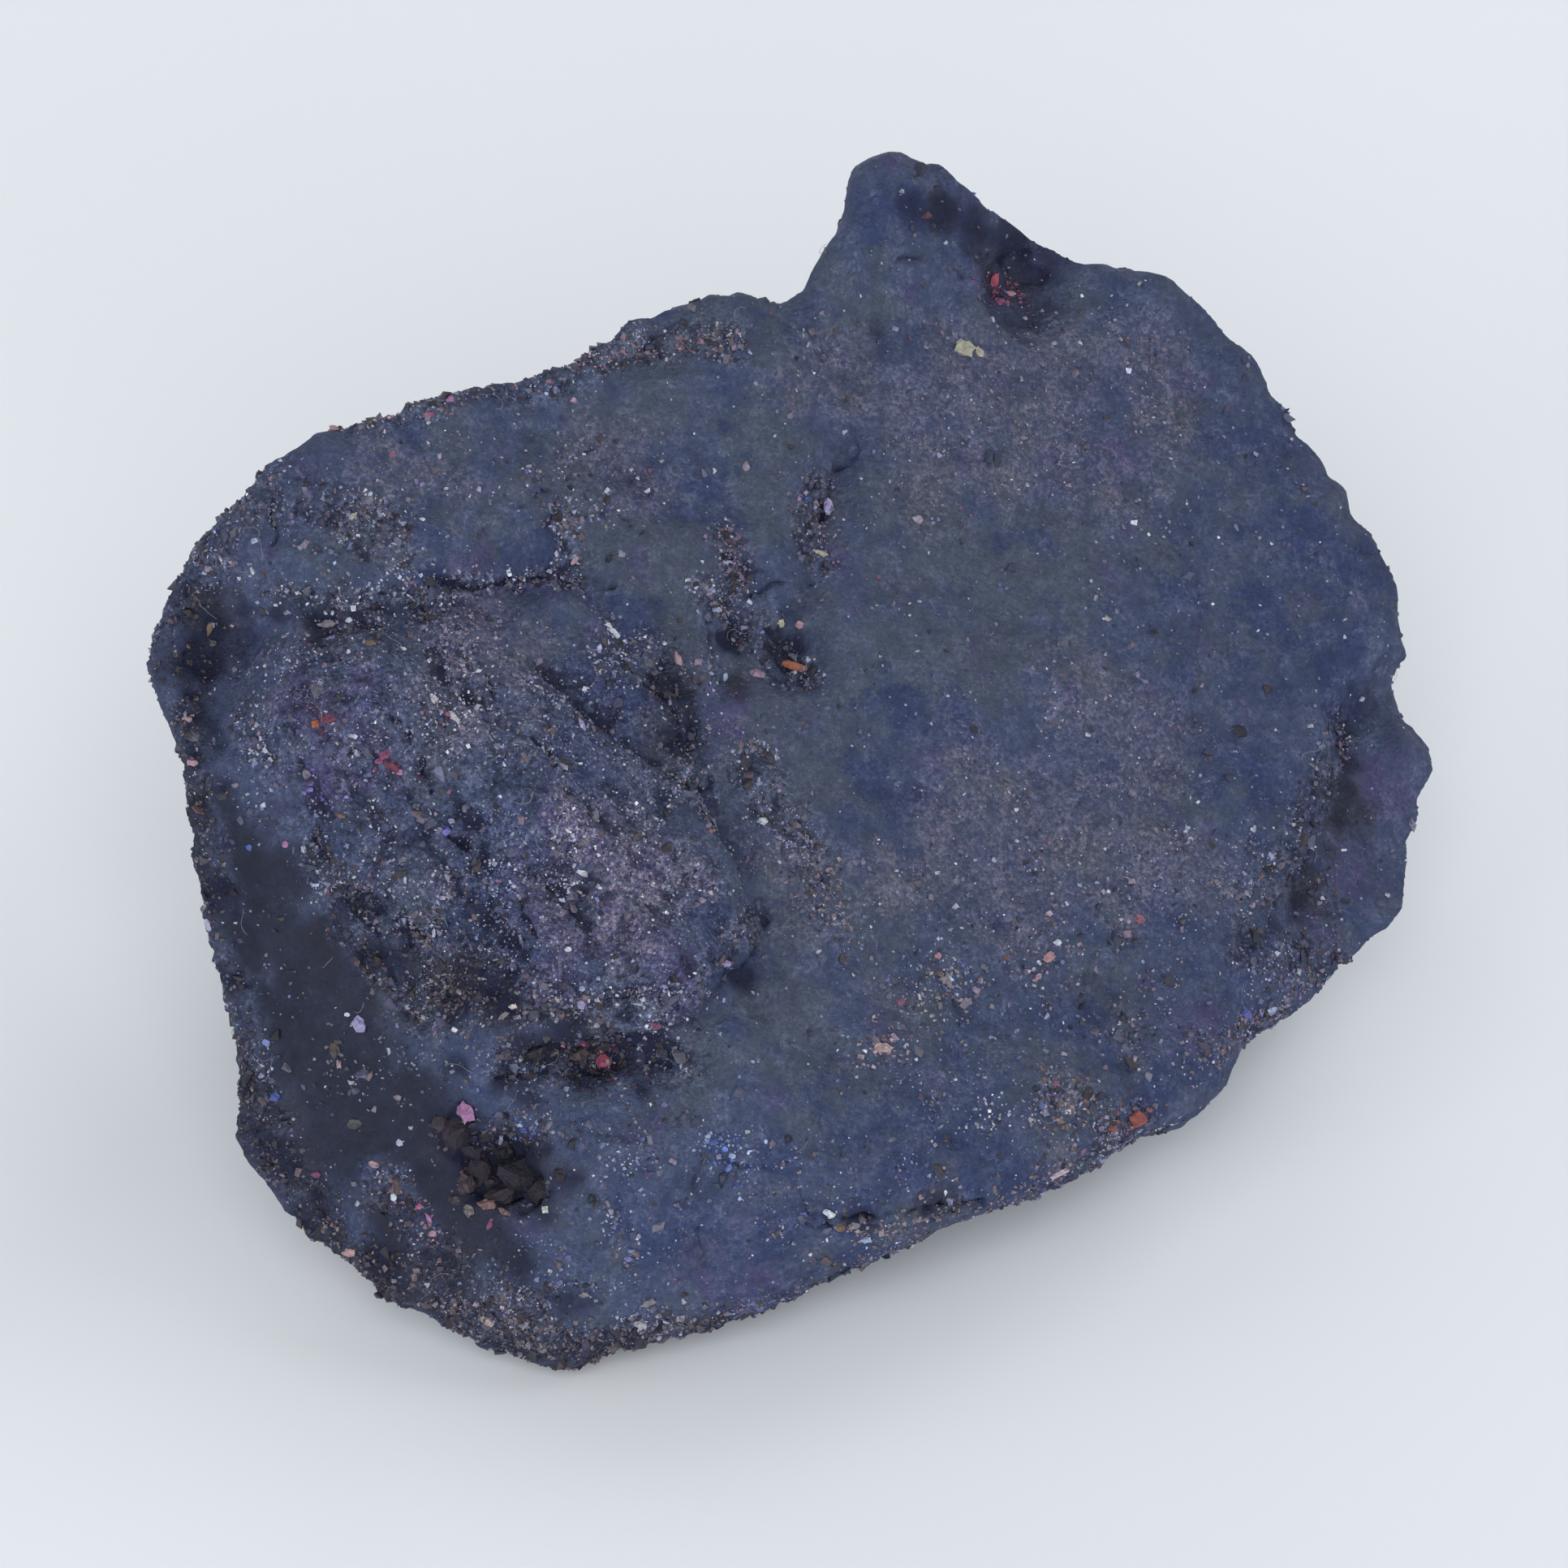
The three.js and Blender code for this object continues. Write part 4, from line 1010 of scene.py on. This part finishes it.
# Grains and flakes large enough to place one by one: pixel, length, width and height in
# pixels, turn in degrees from the picture's right, and tint.
PINK, MAGENTA, DEEP_RED = (0.34, 0.16, 0.32), (0.22, 0.06, 0.14), (0.13, 0.025, 0.055)
LILAC, SKY, ROYAL = (0.28, 0.26, 0.44), (0.30, 0.38, 0.56), (0.06, 0.10, 0.34)
WHITE, CREAM, ROSE = (0.56, 0.60, 0.66), (0.38, 0.37, 0.29), (0.36, 0.23, 0.27)
RUST, SALMON, UMBER = (0.30, 0.10, 0.05), (0.26, 0.15, 0.14), (0.060, 0.044, 0.044)
JET, BEIGE, AMBER = (0.012, 0.012, 0.018), (0.20, 0.18, 0.20), (0.15, 0.10, 0.06)
LARGE_GRAINS = [
    (575, 1370, 36, 28, 20, 60, PINK), (975, 820, 48, 13, 6, -14, RUST),
    (757, 780, 26, 9, 5, -52, WHITE), (750, 771, 12, 8, 5, 10, WHITE),
    (717, 893, 22, 9, 6, -55, LILAC), (1400, 1380, 27, 25, 20, 0, (0.24, 0.06, 0.05)),
    (1371, 1392, 14, 10, 8, 0, (0.22, 0.08, 0.07)), (1188, 430, 34, 28, 12, 60, CREAM),
    (1206, 434, 16, 12, 8, -60, CREAM), (474, 930, 18, 12, 10, 10, MAGENTA),
    (484, 944, 24, 16, 12, -30, DEEP_RED), (468, 938, 12, 9, 8, 0, MAGENTA),
    (492, 952, 12, 10, 8, 20, PINK), (405, 885, 22, 12, 9, 10, DEEP_RED),
    (388, 892, 14, 10, 8, 0, (0.34, 0.10, 0.04)), (1224, 345, 26, 14, 12, 80, (0.34, 0.06, 0.10)),
    (1232, 372, 20, 12, 10, 30, MAGENTA), (1245, 362, 14, 8, 6, 0, ROSE),
    (745, 1306, 22, 20, 16, 0, (0.22, 0.04, 0.08)), (720, 1285, 16, 9, 8, -40, MAGENTA),
    (712, 1300, 30, 18, 14, 10, UMBER), (735, 1322, 26, 16, 12, -20, JET),
    (768, 1312, 18, 12, 10, 0, JET), (660, 1296, 44, 22, 16, 20, JET),
    (443, 1262, 22, 19, 10, -40, LILAC), (428, 1250, 8, 6, 4, 0, WHITE),
    (329, 1285, 12, 10, 6, 0, (0.22, 0.28, 0.62)), (338, 1352, 12, 17, 6, 80, ROYAL),
    (324, 1325, 13, 10, 6, 20, LILAC), (616, 1402, 9, 22, 8, 0, LILAC),
    (256, 1140, 10, 20, 6, 10, (0.36, 0.34, 0.52)), (389, 1447, 12, 10, 8, 0, MAGENTA),
    (517, 1486, 10, 9, 8, 0, (0.46, 0.12, 0.22)), (528, 1500, 16, 7, 6, -60, PINK),
    (533, 1520, 14, 10, 8, 20, ROSE), (604, 1508, 16, 7, 6, 70, MAGENTA),
    (550, 1025, 16, 9, 6, 30, (0.16, 0.14, 0.46)), (556, 1012, 12, 8, 6, 20, LILAC),
    (1022, 1495, 15, 18, 10, 60, WHITE), (1068, 1527, 16, 13, 8, 0, SKY),
    (1035, 1512, 12, 12, 8, 0, AMBER), (1052, 1510, 16, 10, 8, 0, BEIGE),
    (835, 812, 22, 10, 8, -80, ROSE), (708, 690, 16, 7, 5, 50, ROSE),
    (408, 512, 16, 11, 12, 75, ROSE), (416, 520, 12, 9, 8, 0, UMBER),
    (560, 480, 14, 12, 10, 0, PINK), (527, 511, 24, 9, 7, 5, MAGENTA),
    (540, 497, 34, 8, 6, 15, JET), (434, 637, 12, 9, 7, 40, CREAM), (430, 765, 10, 9, 7, 0, WHITE),
    (455, 793, 15, 9, 7, 0, AMBER), (497, 800, 8, 6, 5, 0, WHITE), (430, 803, 8, 7, 5, 0, WHITE),
    (403, 770, 26, 14, 8, 10, BEIGE), (258, 775, 18, 10, 8, 80, AMBER),
    (262, 770, 10, 6, 6, 80, LILAC), (232, 888, 12, 10, 8, 0, ROSE),
    (237, 940, 16, 10, 8, 0, ROSE), (420, 1006, 16, 7, 6, -30, AMBER),
    (352, 1040, 10, 10, 6, 0, PINK), (307, 1044, 10, 10, 6, 0, ROYAL),
    (1292, 1178, 20, 15, 10, 20, (0.36, 0.20, 0.22)), (1303, 1162, 12, 10, 8, 0, WHITE),
    (1403, 1133, 16, 14, 10, 0, (0.26, 0.11, 0.15)), (1165, 1208, 24, 11, 8, -10, BEIGE),
    (1088, 1292, 20, 26, 10, 70, (0.40, 0.30, 0.30)), (1278, 1205, 16, 8, 7, 50, ROSE),
    (1155, 1178, 10, 10, 7, 0, (0.40, 0.22, 0.26)), (1568, 1243, 14, 12, 8, 0, SKY),
    (1535, 1250, 16, 12, 8, 0, (0.10, 0.12, 0.40)), (1136, 1548, 18, 8, 8, 20, SALMON),
    (1300, 1448, 44, 16, 7, 24, (0.44, 0.36, 0.42)), (940, 1012, 12, 10, 8, 0, WHITE),
    (962, 768, 12, 11, 7, 0, CREAM), (985, 770, 12, 11, 7, 0, ROSE),
    (932, 830, 24, 14, 8, -20, (0.26, 0.18, 0.26)), (893, 835, 14, 8, 6, 60, SKY),
    (1020, 625, 12, 24, 9, 0, LILAC), (1010, 682, 22, 9, 7, -20, CREAM),
    (995, 615, 12, 8, 6, 0, ROYAL), (880, 1408, 10, 8, 6, 0, ROYAL),
    (893, 1416, 9, 8, 6, 0, (0.14, 0.22, 0.60)), (903, 1424, 10, 8, 6, 0, SKY),
    (898, 1440, 10, 7, 6, 50, (0.14, 0.18, 0.56)), (886, 1425, 9, 7, 6, 0, LILAC),
    (872, 1400, 8, 7, 5, 0, SKY), (645, 1392, 15, 9, 6, 20, ROYAL), (640, 1386, 9, 6, 5, 0, SKY),
    (672, 1490, 12, 10, 7, 0, (0.50, 0.54, 0.50)), (700, 1170, 10, 9, 7, 0, WHITE),
    (718, 1218, 10, 8, 7, 0, SKY), (895, 1187, 12, 10, 8, 0, LILAC),
    (715, 1238, 16, 14, 10, 0, LILAC), (620, 1252, 20, 9, 7, 30, BEIGE),
    (632, 1240, 12, 9, 7, 0, (0.52, 0.44, 0.44)), (600, 1628, 20, 14, 9, -30, (0.34, 0.27, 0.25)),
    (430, 1543, 20, 13, 9, 20, (0.40, 0.26, 0.26)), (800, 1605, 26, 12, 8, 25, BEIGE),
    (790, 1632, 18, 12, 8, 0, (0.36, 0.36, 0.40)), (720, 1595, 14, 10, 8, 0, BEIGE),
    (745, 1690, 24, 10, 7, 0, BEIGE), (413, 1295, 14, 24, 9, 0, UMBER),
    (418, 1312, 9, 10, 6, 0, ROSE), (436, 1385, 22, 14, 8, 20, (0.06, 0.06, 0.06)),
    (492, 1408, 10, 10, 6, 0, (0.36, 0.38, 0.50)), (490, 1352, 12, 9, 7, 0, BEIGE),
    (462, 1435, 18, 10, 8, -20, (0.34, 0.24, 0.28)), (485, 1475, 8, 12, 6, 0, WHITE),
    (520, 640, 8, 5, 4, 0, WHITE), (1260, 540, 10, 8, 6, 0, BEIGE),
    (1130, 640, 16, 12, 8, 0, (0.34, 0.30, 0.38)), (535, 862, 26, 12, 5, -20, (0.56, 0.52, 0.56)),
    (560, 885, 22, 9, 5, -60, (0.50, 0.50, 0.54)),
]
SOCKET_CHIPS = [
    (558, 1398, 52, 44, 26, 70, (0.024, 0.015, 0.020)),
    (541, 1384, 26, 30, 20, 20, (0.044, 0.030, 0.036)),
    (590, 1440, 48, 42, 30, 80, (0.022, 0.015, 0.019)),
    (573, 1458, 28, 32, 24, 0, (0.070, 0.048, 0.050)),
    (644, 1450, 74, 52, 36, -12, (0.009, 0.006, 0.011)),
    (668, 1466, 42, 34, 26, 40, (0.015, 0.011, 0.016)),
    (616, 1474, 44, 30, 24, 10, (0.034, 0.022, 0.025)),
    (620, 1418, 36, 30, 20, 30, (0.011, 0.008, 0.013)),
    (580, 1418, 36, 28, 18, -30, (0.011, 0.008, 0.013)),
    (690, 1448, 22, 18, 14, 0, (0.026, 0.020, 0.028)), (600, 1484, 28, 14, 9, -12, SALMON),
    (578, 1492, 14, 18, 10, 0, (0.20, 0.18, 0.17)), (622, 1494, 20, 8, 6, -30, SALMON),
    (560, 1478, 18, 14, 12, 0, (0.065, 0.046, 0.048)),
    (604, 1456, 22, 18, 16, 0, (0.040, 0.026, 0.030)),
    (600, 1400, 20, 16, 12, 30, (0.022, 0.015, 0.019)),
]


def across_picture(facing, turn):
    """The direction along the skin that points this many degrees from the picture's right."""
    way = RIGHTWARD * math.cos(math.radians(turn)) + UPWARD * math.sin(math.radians(turn))
    return (way - facing * way.dot(facing)).normalized()


def set_by_hand(name, rows, shapes, skin, material, rng, lift=0.25):
    """Joins grains set one by one at their pixels, each half sunk in the skin under it."""
    all_points, all_corners, all_tints, used = [], [], [], 0
    for u, v, length, width, height, turn, tint in rows:
        place, facing = seen_at(skin, u, v)
        along = across_picture(facing, turn)
        frame_of_grain = np.array([along, facing.cross(along), facing]).T
        points, corners = shapes[rng.integers(len(shapes))]
        half_size = np.array([length, width, height]) * PIXEL / 2
        reach = np.abs(points).max(axis=0)
        placed = (points / reach * half_size) @ frame_of_grain.T
        placed += np.array(place) + np.array(facing) * half_size[2] * lift
        all_points.append(placed)
        all_corners.append(corners + used)
        all_tints.append(np.repeat([tint], len(points), axis=0))
        used += len(points)
    return new_piece(name, np.concatenate(all_points), np.concatenate(all_corners),
                     np.concatenate(all_tints), material)


FIBRE_SPOTS = [
    (300, 652), (285, 690), (240, 735), (436, 1246), (275, 1283), (410, 1180), (470, 1590),
    (555, 1570), (1104, 1332), (850, 1040), (808, 926), (640, 900), (1280, 1375), (390, 870),
    (400, 930), (300, 1120), (500, 800), (690, 560), (980, 1420), (520, 1475), (245, 1150),
    (232, 1030), (1035, 250), (1130, 1535),
]
FIBRE_STEP = 0.05 * MM
FIBRE_RADIUS = 0.0065 * MM
FIBRE_LENGTHS = 0.4, 1.4          # mm
MORE_FIBRES = 60
FIBRE_TINT = (0.30, 0.29, 0.31)


def lay_fibre(skin, place, facing, length, rng):
    """A curly fibre's points: it wanders over the skin, and arches off it between its ends."""
    heading = Vector(rng.normal(0, 1, 3)).cross(facing).normalized()
    bend, lift = rng.normal(0, 0.12), rng.uniform(0.03, 0.20) * MM
    count = max(8, round(length * MM / FIBRE_STEP))
    points = []
    for k in range(count):
        rise = lift * math.sin(math.pi * k / count) + FIBRE_RADIUS
        points.append(place + facing * rise)
        bend = 0.9 * bend + rng.normal(0, 0.07)
        heading = (heading + facing.cross(heading) * bend).normalized()
        place, facing, _, _ = skin.find_nearest(place + heading * FIBRE_STEP)
        heading = (heading - facing * heading.dot(facing)).normalized()
    return points


def make_fibres(stone, skin, material):
    """A few dozen fine textile fibres that cling to the stone."""
    rng = np.random.default_rng(FIBRE_SEED)
    weight = 0.15 + value_of(stone, "crumbly") + 0.4 * value_of(stone, "furrowed")
    weight *= points_of(stone)[:, 2] > 1.0 * MM
    spots = [seen_at(skin, u, v) for u, v in FIBRE_SPOTS]
    more = spread_over(stone, weight, MORE_FIBRES, rng)
    spots += [(Vector(place), Vector(facing)) for place, facing in zip(*more)]
    curve = bpy.data.curves.new("fibres", "CURVE")
    curve.dimensions = "3D"
    curve.bevel_depth = FIBRE_RADIUS
    curve.bevel_resolution = 0
    for place, facing in spots:
        points = lay_fibre(skin, place, facing, rng.uniform(*FIBRE_LENGTHS), rng)
        line = curve.splines.new("POLY")
        line.points.add(len(points) - 1)
        line.points.foreach_set("co", [x for p in points for x in (*p, 1)])
    only(add_to_scene("fibres", curve))
    bpy.ops.object.convert(target="MESH")
    piece = bpy.context.object
    paint_tints(piece.data, np.tile(FIBRE_TINT, (len(piece.data.vertices), 1)))
    piece.data.materials.append(material)
    return piece


# ------------------------------------------------------------------- the stage

FLOOR_SIDE = 3.0


def make_floor():
    """A plain pale sheet, a little uneven in tone."""
    bpy.ops.mesh.primitive_plane_add(size=FLOOR_SIDE)
    floor = bpy.context.object
    floor.name = "floor"
    paint = Recipe("floor_paper")
    uneven = paint.noise(60.0, 2.0, 0.5).between(0.2, 0.8)
    colour = paint.mix(uneven, (0.80, 0.83, 0.86), (0.82, 0.85, 0.875))
    paint.put(paint.finish.inputs["Base Color"], colour)
    paint.put(paint.finish.inputs["Roughness"], 0.9)
    floor.data.materials.append(paint.material)
    return floor


def add_light(power, place):
    """A soft square light that faces the stone."""
    light = bpy.data.lights.new("soft_light", "AREA")
    light.shape = "SQUARE"
    light.size = LIGHT_SIDE
    light.energy = power
    light.color = DAYLIGHT
    holder = add_to_scene("soft_light", light)
    holder.location = place
    holder.rotation_euler = (SIGHT_POINT - Vector(place)).to_track_quat("-Z", "Y").to_euler()


def add_camera():
    view = bpy.data.cameras.new("camera")
    view.lens = LENS
    view.sensor_width = SENSOR
    view.clip_start = 0.01
    view.clip_end = 10
    holder = add_to_scene("camera", view)
    holder.location = EYE
    holder.rotation_euler = FORWARD.to_track_quat("-Z", "Y").to_euler()
    bpy.context.scene.camera = holder


# Watts of the eight lights of each ring, from the camera's side by way of the right.
LOW_RING = (0.95, 0.68, 0.10, 0.44, 0.84, 0.95, 0.44, 1.05)
HIGH_RING = (1.25, 0.14, 0.52, 0.60, 0.14, 0.18, 0.0, 0.18)
LOW_PLACE, HIGH_PLACE = (0.58, 0.155), (0.424, 0.424)  # metres out from the stone and up
LIGHT_SIDE = 0.3
DAYLIGHT = (0.97, 0.98, 1.0)
ROOM_COLOUR, ROOM_STRENGTH = (0.86, 0.92, 1.0, 1), 0.11


def light_the_room():
    world = bpy.data.worlds.new("room")
    world.use_nodes = True
    backdrop = world.node_tree.nodes["Background"]
    backdrop.inputs["Color"].default_value = ROOM_COLOUR
    backdrop.inputs["Strength"].default_value = ROOM_STRENGTH
    bpy.context.scene.world = world
    for ring, (out, up) in ((LOW_RING, LOW_PLACE), (HIGH_RING, HIGH_PLACE)):
        for k, power in enumerate(ring):
            turn = k * math.pi / 4
            if power:
                add_light(power, (out * math.sin(turn), -out * math.cos(turn), up))
    bpy.context.scene.view_settings.view_transform = "Standard"


# ------------------------------------------------------------- put it together

add_camera()
light_the_room()
floor = make_floor()
stone = make_stone()
stone.data.materials.clear()
stone.data.materials.append(skin_material())
glassy = grain_material("glassy_grain", 0.22, 1.55)
dull = grain_material("dull_grain", 0.6, 1.45)
chipped = grain_material("chipped_grain", 0.7, 1.4, 0.9)
skin = tree_of(stone)
grain_rng = np.random.default_rng(LARGE_GRAIN_SEED)
lumps, knobs, blocks = (grain_shapes(300, kind) for kind in ("lump", "knob", "block"))
grit = make_grit(stone, glassy, dull)
grit.append(set_by_hand("large_grains", LARGE_GRAINS, lumps, skin, dull, grain_rng))
grit.append(set_by_hand("socket_chips", SOCKET_CHIPS, knobs, skin, chipped, grain_rng, 0.1))
grit.append(strew(skin, blocks, glassy))
grit.append(make_fibres(stone, skin, dull))

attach(stone, "root")
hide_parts("rough_sapphire")
for piece in grit:
    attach(piece, "root")
